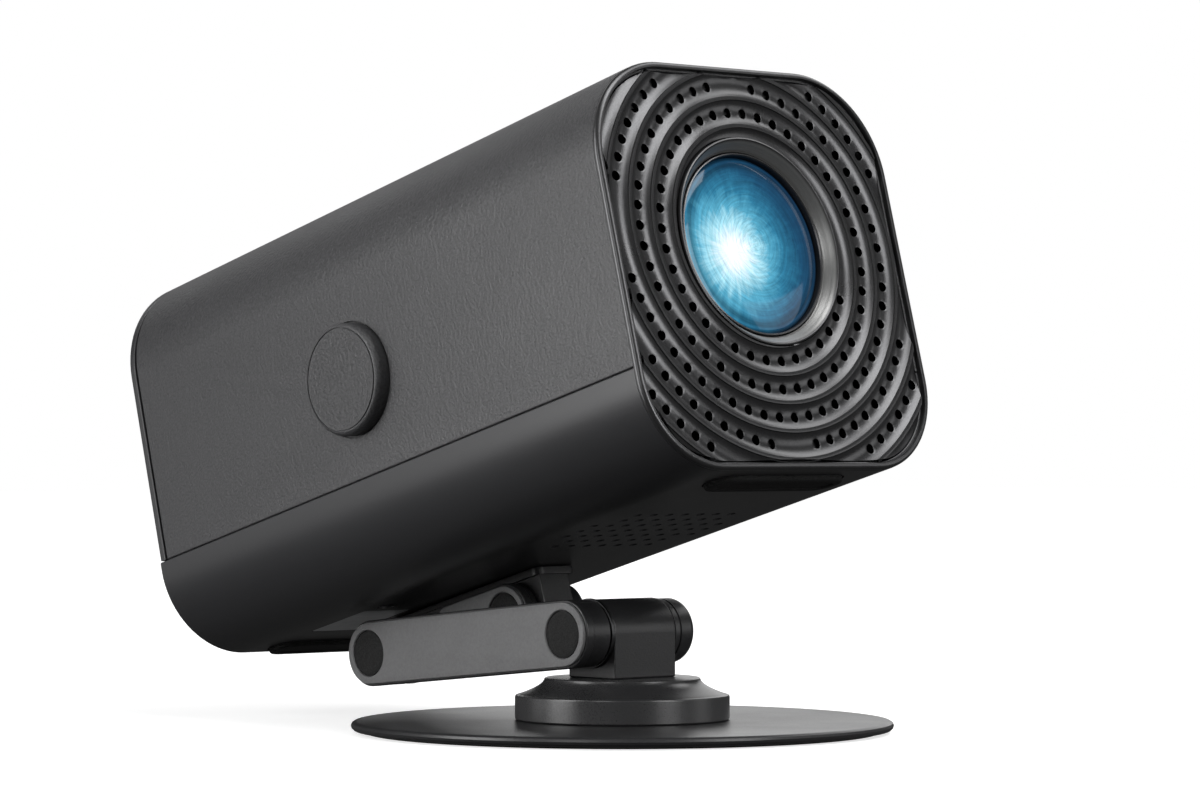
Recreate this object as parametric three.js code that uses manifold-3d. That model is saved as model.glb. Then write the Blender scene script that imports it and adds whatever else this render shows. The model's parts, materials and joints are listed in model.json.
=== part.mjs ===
// A home projector on a folding swivel stand.
// Millimetres, +Z up, the lens looks along -Y, +X is to the right as seen from the front.
// The origin is the middle of the stand's base, on the surface that it stands on.
//
// The stand's lower pieces are drawn straight in this frame. The lower arm, and the projector with its
// upper arm, are each drawn level in a frame of their own and placed by a turned group.
import * as THREE from "three";
import { mergeVertices } from "three/addons/utils/BufferGeometryUtils.js";
import Module from "manifold-3d";

const wasm = await Module();
wasm.setup();

// ---------------------------------------------------------------- driving dimensions

const GAP = 0.3; // air between pieces that touch or run against each other

// Casing, in the projector's frame: x to the right, y rearwards from the front face, z up from its middle.
const CASE = {
  width: 116,
  height: 120,
  length: 222.6,
  topRadius: 30.6,
  bottomRadius: 27,
  wall: 2.6,
  splitZ: -30.3, // the seam between the textured upper shell and the smooth lower shell
  pitchDeg: -15.07, // nose up
  frontMiddle: [0, -58.4, 135], // where the middle of the front face stands
};
const FLOOR_Z = -CASE.height / 2;
const BEZEL = { front: -1.8, back: 0, round: 0.7, rim: 2.4, sleeveOuter: 1.7, sleeveEnd: 9 };
const SHELL = { start: 0.3, rebate: 1.4, rebateEnd: 10, upperEnd: 218.7 };
const REAR = { start: 219.6, sleeveStart: 210, sleeveWall: 2 };

// Lens and focus
const LENS_Z = 7.6;
const SHROUD = {
  outer: 31.1,
  mouth: 29.6,
  bore: 27.6,
  tube: 29.9,
  start: -1.6,
  step: 1.5,
  flangeEnd: 6,
  end: 30,
};
const BARREL = {
  outer: 27.3,
  start: 0.9,
  end: 52,
  frontSeat: 25.8,
  seatEnd: 8.6,
  bore: 22,
  rearSeat: 24,
  rearSeatStart: 38,
};
const FRONT_LENS = { radius: 25.5, start: 1.3, end: 8.3, bulge: 2.2 };
const REAR_LENS = { radius: 23.7, start: 38.3, end: 45, bulge: 2.6 };
const KNOB = { y: 117.5, z: -0.7, radius: 16.75, outerX: -62.5, innerX: -57.5, seat: 0.9 };
const GEAR = { teeth: 12, pitchRadius: 6, addendum: 0.9, dedendum: 1.15, flankDeg: 20, halfTooth: 0.65 };
const RACK = { x0: -47, x1: -43, y0: 37, y1: 131, height: 4.05, bracketY: 43 };

// Grille: one spiral trough that starts beside the lens
const GRILLE = { start: -1.5, end: 4, bore: 31.5 };
const SPIRAL = {
  z: 7.2,
  radius: 33.6, // of the trough's middle line where it starts
  pitch: 8.33,
  startDeg: -28.5,
  turns: 4.6,
  troughRadius: 2.5,
  middleY: -2.3,
};

// Underside
const SPEAKER = { x: 0.5, y: 68, pitchX: 6.3, pitchY: 6.1, holeRadius: 1, patternRadius: 26.6 };
const FOOT = { halfLength: 25.5, halfWidth: 6.5, frontY: 11.5, rearY: 214.4, proud: 1.5, recess: 0.6 };
const VENT = { slots: 9, pitch: 7.4, halfWide: 32, halfTall: 1.7 }; // in the rear cover
const CASE_SCREWS = [
  [-20, FOOT.frontY],
  [20, FOOT.frontY],
  [-22, 161],
  [22, 161],
];
const LABEL = { x0: -26, x1: -8, y0: 167, y1: 194, thick: 0.3 };

// Light engine and cooling, in line behind the lens
const ENGINE = { half: 38, wall: 2, start: 62, end: 146 };
const SINK = { half: 36, start: 146.5, base: 4, end: 176, fins: 9, finWidth: 2 };
const FAN = { half: 40, start: 180, end: 196, bore: 37, hub: 13, tip: 35.4, blades: 7 };

// Ports, stacked on the rear face beside the vent
const PORTS = {
  x: 43.6,
  front: 209,
  back: 222.3,
  wall: 0.6,
  hdmi: { z: 20, wide: 4.6, tall: 14.2 },
  usb: { z: -2, wide: 5, tall: 12.5 },
  jack: { z: -17, outer: 3.6, hole: 1.8 },
  power: { z: 37, outer: 5, hole: 3.2, pin: 1 },
};
const BUTTON = { x: -43.6, z: 20, radius: 5, flange: 6.4, start: 216, flangeEnd: 218.6, end: 223.8 };

// Stand
const BASE = { radius: 80, under: 0.6, top: 3.4, padRadius: 76, boss: 12, bossTop: 6.6 };
const HUB = { radius: 31.7, start: 3.6, bandTop: 11, shoulder: 30.2, neck: 23, top: 16, edge: 0.8 };
const BOLT = { radius: 3.5, headRadius: 6.5, start: 1, headEnd: 3.1, end: 20.5 };
const BASE_AXIS_Z = 29.2;
const BARREL_RADIUS = 9.9; // the round ends of every hinge
const KNUCKLE = { halfX: 12.3, halfY: 10 };
const PIN_RADIUS = 4;
const PIN_BORE = PIN_RADIUS + 0.2;
const PIN_ENDS = { base: [-22.4, 15.4], elbow: [-22.4, -3.5], top: [-8.4, 11.2] };
const BASE_WASHER = { radius: 10.3, x0: -13.6, x1: -12.5 };
const TOP_WASHER = { radius: 9.45, x0: -5.9, x1: -4.2 };
const BASE_CAP = { x0: 12.5, x1: 21.7, radius: 9.7 };
const ELBOW_CAP = { x0: -5.9, x1: 0.5, radius: 7.8 };
const TOP_CAP = { x0: 7.7, x1: 16.3, radius: 9.45 };
const ELBOW_SPACER = { x0: -20.1, x1: -10.6 };
const ARM = { outerX: -24.2, faceX: -23.2, innerX: -20.2, bossX: -13.8, halfWidth: 10.1, faceHalfWidth: 9.4 };
const UPPER_ARM = {
  outerX: -10.2,
  faceX: -9.2,
  innerX: -6.2,
  halfWidth: 9.7,
  faceHalfWidth: 9,
  faceEnd: 152,
  ribRadius: 7.9,
};
const INSERT_RADIUS = 7;
const ELBOW = { y: 171.2, z: -72.35 }; // in the projector's frame
const TOP_HINGE = { y: 122.8, z: -72.5 };
const BRACKET = {
  x0: -4,
  x1: 7.5,
  plateX0: -5,
  plateX1: 11,
  y0: 110,
  y1: 180,
  plateThick: 2.5,
  screwX: 3,
  corner: 4,
  knuckleEnd: 134,
};
const BRACKET_SCREWS_Y = [146, 172];
const NUT_PLATE = { x0: -9, x1: 15, y0: 134, y1: 182, thick: 3 };

// How finely round shapes are divided
const ROUND = 28;
const SMALL_ROUND = 14;
const CORNER_STEPS = 7;

// ---------------------------------------------------------------- shape helpers

const radians = THREE.MathUtils.degToRad;

function solidFrom(geometry) {
  const bare = geometry.clone();
  bare.deleteAttribute("normal");
  bare.deleteAttribute("uv");
  const merged = mergeVertices(bare, 1e-4);
  const mesh = new wasm.Mesh({
    numProp: 3,
    vertProperties: new Float32Array(merged.attributes.position.array),
    triVerts: new Uint32Array(merged.index.array),
  });
  return new wasm.Manifold(mesh);
}

function geometryFrom(solid) {
  const { vertProperties, triVerts } = solid.getMesh();
  const geometry = new THREE.BufferGeometry();
  geometry.setAttribute("position", new THREE.BufferAttribute(vertProperties, 3));
  geometry.setIndex(new THREE.BufferAttribute(triVerts, 1));
  return geometry;
}

function combined(how, first, others) {
  return geometryFrom(others.reduce((whole, next) => whole[how](solidFrom(next)), solidFrom(first)));
}

const join = (first, ...others) => combined("add", first, others);
const cut = (first, ...others) => combined("subtract", first, others);
const common = (first, ...others) => combined("intersect", first, others);

function box(x0, x1, y0, y1, z0, z1) {
  const geometry = new THREE.BoxGeometry(x1 - x0, y1 - y0, z1 - z0);
  return geometry.translate((x0 + x1) / 2, (y0 + y1) / 2, (z0 + z1) / 2);
}

// Each carries three.js's own drawing axis onto the named one: extrusions start along +Z, lathes and
// cylinders along +Y.
const basis = (x, y, z) =>
  new THREE.Matrix4().makeBasis(new THREE.Vector3(...x), new THREE.Vector3(...y), new THREE.Vector3(...z));
const EXTRUDE_ALONG = {
  x: basis([0, 1, 0], [0, 0, 1], [1, 0, 0]),
  y: basis([-1, 0, 0], [0, 0, 1], [0, 1, 0]),
  z: new THREE.Matrix4(),
};
const TURN_ABOUT = {
  x: basis([0, -1, 0], [1, 0, 0], [0, 0, 1]),
  y: new THREE.Matrix4(),
  z: basis([1, 0, 0], [0, 0, 1], [0, -1, 0]),
};

// Moves a shape drawn on an axis through the origin so that the axis passes through the point [a, b] of
// the other two.
function shifted(geometry, axis, [a, b]) {
  const move = { x: [0, a, b], y: [a, 0, b], z: [a, b, 0] }[axis];
  return geometry.translate(...move);
}

// An outline pushed along an axis. Points are [x, z] along y, [y, z] along x and [x, y] along z.
function extruded(axis, points, from, to, bevel = 0) {
  const drawn = points.map(([u, v]) => new THREE.Vector2(axis === "y" ? -u : u, v));
  const geometry = new THREE.ExtrudeGeometry(new THREE.Shape(drawn), {
    depth: to - from - 2 * bevel,
    bevelEnabled: bevel > 0,
    bevelThickness: bevel,
    bevelSize: bevel,
    bevelOffset: -bevel,
    bevelSegments: 1,
  });
  geometry.translate(0, 0, from + bevel);
  return geometry.applyMatrix4(EXTRUDE_ALONG[axis]);
}

function rod(axis, radius, from, to, at = [0, 0], sides = ROUND) {
  const geometry = new THREE.CylinderGeometry(radius, radius, to - from, sides);
  geometry.translate(0, (from + to) / 2, 0).applyMatrix4(TURN_ABOUT[axis]);
  return shifted(geometry, axis, at);
}

// A profile of [radius, distance along the axis] points turned about the axis.
function turned(axis, profile, at = [0, 0], sides = ROUND) {
  const points = profile.map(([radius, along]) => new THREE.Vector2(radius, along));
  const geometry = new THREE.LatheGeometry(points, sides).applyMatrix4(TURN_ABOUT[axis]);
  return shifted(geometry, axis, at);
}

function ring(axis, inner, outer, from, to, at = [0, 0], sides = ROUND) {
  const profile = [
    [inner, from],
    [outer, from],
    [outer, to],
    [inner, to],
    [inner, from],
  ];
  return turned(axis, profile, at, sides);
}

// An arc's points, both ends included.
function arc([cx, cy], radius, fromDeg, toDeg, steps) {
  return Array.from({ length: steps + 1 }, (_, i) => {
    const angle = radians(THREE.MathUtils.lerp(fromDeg, toDeg, i / steps));
    return [cx + radius * Math.cos(angle), cy + radius * Math.sin(angle)];
  });
}

// The casing's cross-section, drawn in by inset all round.
function caseOutline(inset = 0) {
  const { width, height, topRadius, bottomRadius } = CASE;
  const top = [width / 2 - topRadius, height / 2 - topRadius];
  const low = [width / 2 - bottomRadius, height / 2 - bottomRadius];
  return [
    ...arc([top[0], top[1]], topRadius - inset, 0, 90, CORNER_STEPS),
    ...arc([-top[0], top[1]], topRadius - inset, 90, 180, CORNER_STEPS),
    ...arc([-low[0], -low[1]], bottomRadius - inset, 180, 270, CORNER_STEPS),
    ...arc([low[0], -low[1]], bottomRadius - inset, 270, 360, CORNER_STEPS),
  ];
}

// A slot shape with round ends about the points [0, 0] and [length, 0], moved to start.
function stadium(length, radius, [u, v] = [0, 0]) {
  return [...arc([u, v], radius, 90, 270, 10), ...arc([u + length, v], radius, -90, 90, 10)];
}

const caseBlock = (inset, from, to) => extruded("y", caseOutline(inset), from, to);
const above = (z) => box(-CASE.width, CASE.width, -10, CASE.length + 10, z, CASE.height);
const below = (z) => box(-CASE.width, CASE.width, -10, CASE.length + 10, -CASE.height, z);

// ---------------------------------------------------------------- materials

const finish =
  (color, roughness, metalness = 0) =>
  () =>
    new THREE.MeshStandardMaterial({ color, roughness, metalness });
const texturedBlack = finish(0x2b2c2e, 0.55);
const smoothBlack = finish(0x1a1b1d, 0.35);
const satinBlack = finish(0x202124, 0.3);
const softBlack = finish(0x151515, 0.85);
const powderBlack = finish(0x26272a, 0.45, 0.6);
const greyMetal = finish(0x6a6b6d, 0.5, 0.8);
const steel = finish(0x8f9193, 0.3, 0.9);
const bareAluminium = finish(0xb4b6b8, 0.4, 0.9);
const opticalGlass = finish(0x2d8fb8, 0.05);
const boardGreen = finish(0x1e4d33, 0.6);
const whitePlastic = finish(0xd8d8d4, 0.5);

// ---------------------------------------------------------------- groups

const projectorStand = new THREE.Group();

const projector = new THREE.Group();
projector.position.set(...CASE.frontMiddle);
projector.rotation.x = radians(CASE.pitchDeg);

// The lower arm reaches from the base hinge to the elbow, wherever the projector's frame puts that.
projector.updateMatrix();
const elbowPoint = new THREE.Vector3(0, ELBOW.y, ELBOW.z).applyMatrix4(projector.matrix);
const elbowDrop = BASE_AXIS_Z - elbowPoint.z;
const LOWER_ARM = { length: Math.hypot(elbowPoint.y, elbowDrop), slope: -Math.atan2(elbowDrop, elbowPoint.y) };

const lowerLink = new THREE.Group();
lowerLink.position.set(0, 0, BASE_AXIS_Z);
lowerLink.rotation.x = LOWER_ARM.slope;

projectorStand.add(projector, lowerLink);

function add(group, name, geometry, material) {
  const mesh = new THREE.Mesh(geometry, material());
  mesh.name = name;
  group.add(mesh);
}

// ---------------------------------------------------------------- base and swivel

function basePlate() {
  const round = 1.3;
  const { radius, under, top, boss, bossTop } = BASE;
  const profile = [
    [0, under],
    [radius - 1.6, under],
    ...arc([radius - round, top - round], round, -60, 90, 3),
    [boss, top],
    [boss, bossTop],
    [0, bossTop],
  ];
  const boltHole = rod("z", BOLT.radius + GAP, -1, 10, [0, 0], SMALL_ROUND);
  const headRoom = rod("z", BOLT.headRadius + 1, -1, top, [0, 0], SMALL_ROUND);
  return cut(turned("z", profile, [0, 0], 56), boltHole, headRoom);
}

function swivelHub() {
  const { radius, start, bandTop, shoulder, neck, top, edge } = HUB;
  const flare = [0, 0.33, 0.66, 1].map((t) => [
    THREE.MathUtils.lerp(shoulder, neck, 1 - (1 - t) ** 1.8),
    THREE.MathUtils.lerp(bandTop, top, t),
  ]);
  const profile = [
    [0, start],
    [radius, start],
    [radius, bandTop - edge],
    [radius - edge, bandTop],
    ...flare,
    [0, top],
  ];
  const bossRoom = rod("z", BASE.boss + GAP, 0, BASE.bossTop + GAP);
  const boltHole = rod("z", BOLT.radius + GAP, 0, 20, [0, 0], SMALL_ROUND);
  return cut(turned("z", profile, [0, 0], 40), bossRoom, boltHole);
}

function swivelBolt() {
  const shank = rod("z", BOLT.radius, BOLT.start + 1, BOLT.end, [0, 0], 16);
  const head = rod("z", BOLT.headRadius, BOLT.start, BOLT.headEnd, [0, 0], 6);
  return join(shank, head);
}

function baseKnuckle() {
  const { halfX, halfY } = KNUCKLE;
  const top = arc([0, BASE_AXIS_Z], halfY, 0, 180, 12);
  const block = extruded("x", [[-halfY, HUB.top], [halfY, HUB.top], ...top], -halfX, halfX, 0.5);
  return cut(
    block,
    rod("x", PIN_RADIUS + 0.05, -20, 20, [0, BASE_AXIS_Z], SMALL_ROUND),
    rod("z", BOLT.radius + 0.1, 10, BOLT.end + 0.5, [0, 0], 16),
  );
}

// A domed cap on a hinge's +X end, with a blind bore for the pin.
function endCap({ x0, x1, radius }, at) {
  const bend = 3;
  const dome = arc([radius - bend, x1 - bend], bend, 0, 75, 3);
  const body = turned("x", [[0, x0], [radius, x0], ...dome, [0, x1]], at);
  return cut(body, rod("x", PIN_RADIUS + 0.1, x0 - 1, x0 + 4, at, SMALL_ROUND));
}

const hingePin = ([from, to], at) => rod("x", PIN_RADIUS, from, to, at, SMALL_ROUND);
const washer = ({ x0, x1, radius = BARREL_RADIUS }, at) => ring("x", PIN_BORE, radius, x0, x1, at);
const baseHinge = [0, BASE_AXIS_Z];

add(projectorStand, "base_plate", basePlate(), powderBlack);
add(projectorStand, "base_pad", rod("z", BASE.padRadius, 0, BASE.under, [0, 0], 40), softBlack);
add(projectorStand, "swivel_hub", swivelHub(), powderBlack);
add(projectorStand, "swivel_bolt", swivelBolt(), steel);
add(projectorStand, "base_knuckle", baseKnuckle(), powderBlack);
add(projectorStand, "base_hinge_pin", hingePin(PIN_ENDS.base, baseHinge), steel);
add(projectorStand, "base_washer", washer(BASE_WASHER, baseHinge), steel);
add(projectorStand, "base_end_cap", endCap(BASE_CAP, baseHinge), powderBlack);

// ---------------------------------------------------------------- lower arm
// Its frame's y runs along the arm from the base hinge.

function lowerArm() {
  const { length } = LOWER_ARM;
  const plate = extruded("x", stadium(length, ARM.halfWidth), ARM.faceX, ARM.innerX, 0.6);
  const boss = rod("x", BARREL_RADIUS, ARM.innerX - 0.5, ARM.bossX, [0, 0]);
  const pinRooms = [0, length].map((y) => rod("x", PIN_BORE, ARM.faceX + 0.6, 0, [y, 0], SMALL_ROUND));
  return cut(join(plate, boss), ...pinRooms);
}

function lowerArmCover() {
  const { length } = LOWER_ARM;
  const face = extruded("x", stadium(length, ARM.faceHalfWidth), ARM.outerX, ARM.faceX - 0.1, 0.3);
  const holes = [0, length].map((y) => rod("x", INSERT_RADIUS + 0.1, ARM.outerX - 1, 0, [y, 0]));
  return cut(face, ...holes);
}

const insert = (x, y, z) => rod("x", INSERT_RADIUS - 0.15, x + 0.15, x + 0.85, [y, z]);

add(lowerLink, "lower_arm", lowerArm(), powderBlack);
add(lowerLink, "lower_arm_cover", lowerArmCover(), greyMetal);
add(lowerLink, "lower_arm_front_insert", insert(ARM.outerX, 0, 0), softBlack);
add(lowerLink, "lower_arm_rear_insert", insert(ARM.outerX, LOWER_ARM.length, 0), softBlack);
add(lowerLink, "elbow_spacer", washer(ELBOW_SPACER, [LOWER_ARM.length, 0]), powderBlack);
add(lowerLink, "elbow_pin", hingePin(PIN_ENDS.elbow, [LOWER_ARM.length, 0]), steel);

// ---------------------------------------------------------------- upper arm

const elbow = [ELBOW.y, ELBOW.z];
const topHinge = [TOP_HINGE.y, TOP_HINGE.z];

function upperArm() {
  const { outerX, faceX, innerX, halfWidth, faceEnd, ribRadius } = UPPER_ARM;
  const plate = extruded("x", stadium(ELBOW.y - TOP_HINGE.y, halfWidth, topHinge), faceX, innerX, 0.6);
  const [ribLow, ribHigh] = [TOP_HINGE.z - ribRadius, TOP_HINGE.z + ribRadius];
  const rib = box(outerX, faceX + 1, faceEnd + 0.4, ELBOW.y, ribLow, ribHigh);
  const end = rod("x", ribRadius, outerX, faceX + 1, [ELBOW.y, TOP_HINGE.z]);
  const topBore = rod("x", PIN_BORE, faceX + 0.6, 0, topHinge, SMALL_ROUND);
  const elbowBore = rod("x", PIN_BORE, outerX - 1, 0, elbow, SMALL_ROUND);
  return cut(join(plate, rib, end), topBore, elbowBore);
}

function upperArmCover() {
  const corner = 3;
  const { faceHalfWidth: half, faceEnd, outerX, faceX } = UPPER_ARM;
  const { y, z } = TOP_HINGE;
  const points = [
    ...arc([y, z], half, 90, 270, 12),
    ...arc([faceEnd - corner, z - half + corner], corner, 270, 360, 4),
    ...arc([faceEnd - corner, z + half - corner], corner, 0, 90, 4),
  ];
  const face = extruded("x", points, outerX, faceX - 0.1, 0.3);
  return cut(face, rod("x", INSERT_RADIUS + 0.1, outerX - 1, 0, [y, z]));
}

add(projector, "upper_arm", upperArm(), powderBlack);
add(projector, "upper_arm_cover", upperArmCover(), greyMetal);
add(projector, "upper_arm_insert", insert(UPPER_ARM.outerX, TOP_HINGE.y, TOP_HINGE.z), softBlack);
add(projector, "elbow_cap", endCap(ELBOW_CAP, elbow), powderBlack);

// ---------------------------------------------------------------- top hinge and mount bracket

function mountBracket() {
  const top = FLOOR_Z - GAP;
  const { x0, x1, plateX0, plateX1, y0, y1, plateThick, screwX, corner, knuckleEnd } = BRACKET;
  const plate = box(plateX0, plateX1, y0, y1, top - plateThick, top);
  const outline = [
    [y0, top],
    ...arc([y0 + corner, TOP_HINGE.z - BARREL_RADIUS + corner], corner, 180, 270, 4),
    ...arc(topHinge, BARREL_RADIUS, -90, 45, 8),
    [knuckleEnd, top],
  ];
  const knuckle = extruded("x", outline, x0, x1);
  const pinBore = rod("x", PIN_RADIUS + 0.05, x0 - 1, x1 + 1, topHinge, SMALL_ROUND);
  const holes = BRACKET_SCREWS_Y.flatMap((y) => [
    rod("z", 2.2, top - 10, top + 1, [screwX, y], 16),
    rod("z", 4.2, top - 10, top - plateThick + 1.4, [screwX, y], 16),
  ]);
  return cut(join(plate, knuckle), pinBore, ...holes);
}

function bracketScrew(y) {
  const head = FLOOR_Z - GAP - BRACKET.plateThick + 1.25;
  const shank = rod("z", 1.9, head - 0.5, -55, [BRACKET.screwX, y], 12);
  const cap = rod("z", 3.9, head - 2, head, [BRACKET.screwX, y], 16);
  return cut(join(shank, cap), rod("z", 1.6, head - 3, head - 0.8, [BRACKET.screwX, y], 6));
}

function nutPlate() {
  const floor = FLOOR_Z + CASE.wall + GAP;
  const { x0, x1, y0, y1, thick } = NUT_PLATE;
  const holes = BRACKET_SCREWS_Y.map((y) => rod("z", 2.1, -70, -40, [BRACKET.screwX, y], 12));
  return cut(box(x0, x1, y0, y1, floor, floor + thick), ...holes);
}

add(projector, "mount_bracket", mountBracket(), powderBlack);
add(projector, "mount_nut_plate", nutPlate(), steel);
BRACKET_SCREWS_Y.forEach((y, i) => add(projector, `bracket_screw_${i + 1}`, bracketScrew(y), steel));
add(projector, "top_hinge_pin", hingePin(PIN_ENDS.top, topHinge), steel);
add(projector, "top_washer", washer(TOP_WASHER, topHinge), powderBlack);
add(projector, "top_end_cap", endCap(TOP_CAP, topHinge), powderBlack);

// ---------------------------------------------------------------- casing

const footShape = (y, grow) =>
  stadium(2 * (FOOT.halfLength - FOOT.halfWidth), FOOT.halfWidth + grow, [FOOT.halfWidth - FOOT.halfLength, y]);
const footRecess = (y) => extruded("z", footShape(y, GAP), FLOOR_Z - 5, FLOOR_Z + FOOT.recess);

function speakerHoles() {
  const { x, y, pitchX, pitchY, holeRadius, patternRadius } = SPEAKER;
  const holes = [];
  for (let row = -3; row <= 3; row++)
    for (let column = -4; column <= 4; column++) {
      const at = [x + column * pitchX, y + row * pitchY];
      if (Math.hypot(column * pitchX, row * pitchY) < patternRadius)
        holes.push(rod("z", holeRadius, FLOOR_Z - 1, FLOOR_Z + 5, at, 5));
    }
  return holes;
}

const shellBlank = (end) =>
  cut(
    caseBlock(0, SHELL.start, end),
    caseBlock(CASE.wall, SHELL.rebateEnd, CASE.length + 5),
    caseBlock(SHELL.rebate, -5, SHELL.rebateEnd + 0.01),
  );

function upperShell() {
  const shaft = rod("x", 5 + GAP, -CASE.width, -50, [KNOB.y, KNOB.z], SMALL_ROUND);
  const seat = rod("x", KNOB.radius + 0.5, -CASE.width, KNOB.innerX + KNOB.seat - GAP, [KNOB.y, KNOB.z]);
  return cut(common(shellBlank(SHELL.upperEnd), above(CASE.splitZ + GAP / 2)), shaft, seat);
}

function lowerShell() {
  const screwHoles = CASE_SCREWS.flatMap(([x, y]) => [
    rod("z", 1.8, FLOOR_Z - 1, FLOOR_Z + 5, [x, y], 12),
    rod("z", 3.2, FLOOR_Z - 1, FLOOR_Z + 1.5, [x, y], 16),
  ]);
  const bracketHoles = BRACKET_SCREWS_Y.map((y) =>
    rod("z", 2.2, FLOOR_Z - 1, FLOOR_Z + 5, [BRACKET.screwX, y], 12),
  );
  const { x0, x1, y0, y1 } = LABEL;
  const labelRecess = box(x0 - GAP, x1 + GAP, y0 - GAP, y1 + GAP, FLOOR_Z - 1, FLOOR_Z + 0.6);
  return cut(
    common(shellBlank(CASE.length), below(CASE.splitZ - GAP / 2)),
    footRecess(FOOT.frontY),
    footRecess(FOOT.rearY),
    labelRecess,
    ...screwHoles,
    ...bracketHoles,
    ...speakerHoles(),
  );
}

function frontBezel() {
  const { front, back, round, rim, sleeveOuter, sleeveEnd } = BEZEL;
  const flange = extruded("y", caseOutline(), front, back, round);
  const sleeve = caseBlock(sleeveOuter, back - 1, sleeveEnd);
  return cut(join(flange, sleeve), caseBlock(rim, front - 1, sleeveEnd + 1));
}

function spiralTrough() {
  const { radius, pitch, startDeg, turns, z, troughRadius, middleY } = SPIRAL;
  const at = (turn) => {
    const angle = radians(startDeg - 360 * turn);
    const reach = radius + pitch * turn;
    return new THREE.Vector3(reach * Math.cos(angle), middleY, z + reach * Math.sin(angle));
  };
  const path = new (class extends THREE.Curve {
    getPoint(t, target = new THREE.Vector3()) {
      return target.copy(at(t * turns));
    }
  })();
  const corners = arc([0, 0], troughRadius, 0, 300, 5).map(([u, v]) => new THREE.Vector2(u, v));
  const steps = Math.round(turns * 20);
  return new THREE.ExtrudeGeometry(new THREE.Shape(corners), { steps, extrudePath: path });
}

function frontGrille() {
  const plate = caseBlock(BEZEL.rim + GAP, GRILLE.start, GRILLE.end);
  return cut(plate, rod("y", GRILLE.bore, -5, 20, [0, LENS_Z]), spiralTrough());
}

function rearCover() {
  const { start, sleeveStart, sleeveWall } = REAR;
  const inner = CASE.wall + GAP;
  const plate = common(caseBlock(0, start, CASE.length), above(CASE.splitZ + GAP / 2));
  const skirt = caseBlock(inner, sleeveStart, CASE.length);
  const room = caseBlock(inner + sleeveWall, 0, start);
  const [from, to] = [start - 1, CASE.length + 1];
  const slots = Array.from({ length: VENT.slots }, (_, i) => {
    const z = LENS_Z + (i - (VENT.slots - 1) / 2) * VENT.pitch;
    return box(-VENT.halfWide, VENT.halfWide, from, to, z - VENT.halfTall, z + VENT.halfTall);
  });
  const portHole = ({ z, wide, tall }) => {
    const grow = PORTS.wall + GAP;
    const halfX = wide / 2 + grow;
    const halfZ = tall / 2 + grow;
    return box(PORTS.x - halfX, PORTS.x + halfX, from, to, z - halfZ, z + halfZ);
  };
  const roundHole = ({ z, outer }) => rod("y", outer + GAP, from, to, [PORTS.x, z], SMALL_ROUND);
  return cut(
    join(cut(skirt, room), plate),
    ...slots,
    portHole(PORTS.hdmi),
    portHole(PORTS.usb),
    roundHole(PORTS.jack),
    roundHole(PORTS.power),
    rod("y", BUTTON.radius + GAP, from, to, [BUTTON.x, BUTTON.z], SMALL_ROUND),
  );
}

function foot(y) {
  const top = FLOOR_Z + FOOT.recess - GAP;
  return extruded("z", footShape(y, 0), FLOOR_Z - FOOT.proud, top, 0.5);
}

function caseScrew([x, y]) {
  const top = FLOOR_Z + 1.3;
  const head = rod("z", 3, top - 0.6, top, [x, y], 16);
  const shank = rod("z", 1.5, top - 0.1, FLOOR_Z + 10, [x, y], 12);
  return cut(join(head, shank), rod("z", 1.3, top - 1, top - 0.2, [x, y], 6));
}

add(projector, "upper_shell", upperShell(), texturedBlack);
add(projector, "lower_shell", lowerShell(), smoothBlack);
add(projector, "front_bezel", frontBezel(), satinBlack);
add(projector, "front_grille", frontGrille(), satinBlack);
add(projector, "rear_cover", rearCover(), smoothBlack);
add(projector, "front_foot", foot(FOOT.frontY), softBlack);
add(projector, "rear_foot", foot(FOOT.rearY), softBlack);
CASE_SCREWS.forEach((at, i) => add(projector, `case_screw_${i + 1}`, caseScrew(at), steel));
add(
  projector,
  "label_plate",
  box(LABEL.x0, LABEL.x1, LABEL.y0, LABEL.y1, FLOOR_Z, FLOOR_Z + LABEL.thick),
  bareAluminium,
);

// ---------------------------------------------------------------- lens and focus drive

function lensShroud() {
  const { outer, mouth, bore, tube, start, step, flangeEnd, end } = SHROUD;
  const profile = [
    [mouth, start],
    [outer, start],
    [outer, flangeEnd],
    [tube, flangeEnd],
    [tube, end],
    [bore, end],
    [bore, step + 0.6],
    [mouth - 0.8, step],
    [mouth, start],
  ];
  return turned("y", profile, [0, LENS_Z], 32);
}

function lensBarrel() {
  const { outer, start, end, frontSeat, seatEnd, bore, rearSeat, rearSeatStart } = BARREL;
  const profile = [
    [frontSeat, start],
    [outer, start],
    [outer, end],
    [rearSeat, end],
    [rearSeat, rearSeatStart],
    [bore, rearSeatStart],
    [bore, seatEnd],
    [frontSeat, seatEnd],
    [frontSeat, start],
  ];
  return turned("y", profile, [0, LENS_Z], 32);
}

// A lens with a bulging front and a flat back.
function lens({ radius, start, end, bulge }) {
  const face = [0, 0.5, 0.8, 1].map((t) => [radius * t, start + bulge * t * t]);
  return turned("y", [...face, [radius, end], [0, end]], [0, LENS_Z]);
}

const tan = Math.tan(radians(GEAR.flankDeg));
const rackPitchZ = KNOB.z + GEAR.pitchRadius;

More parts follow.
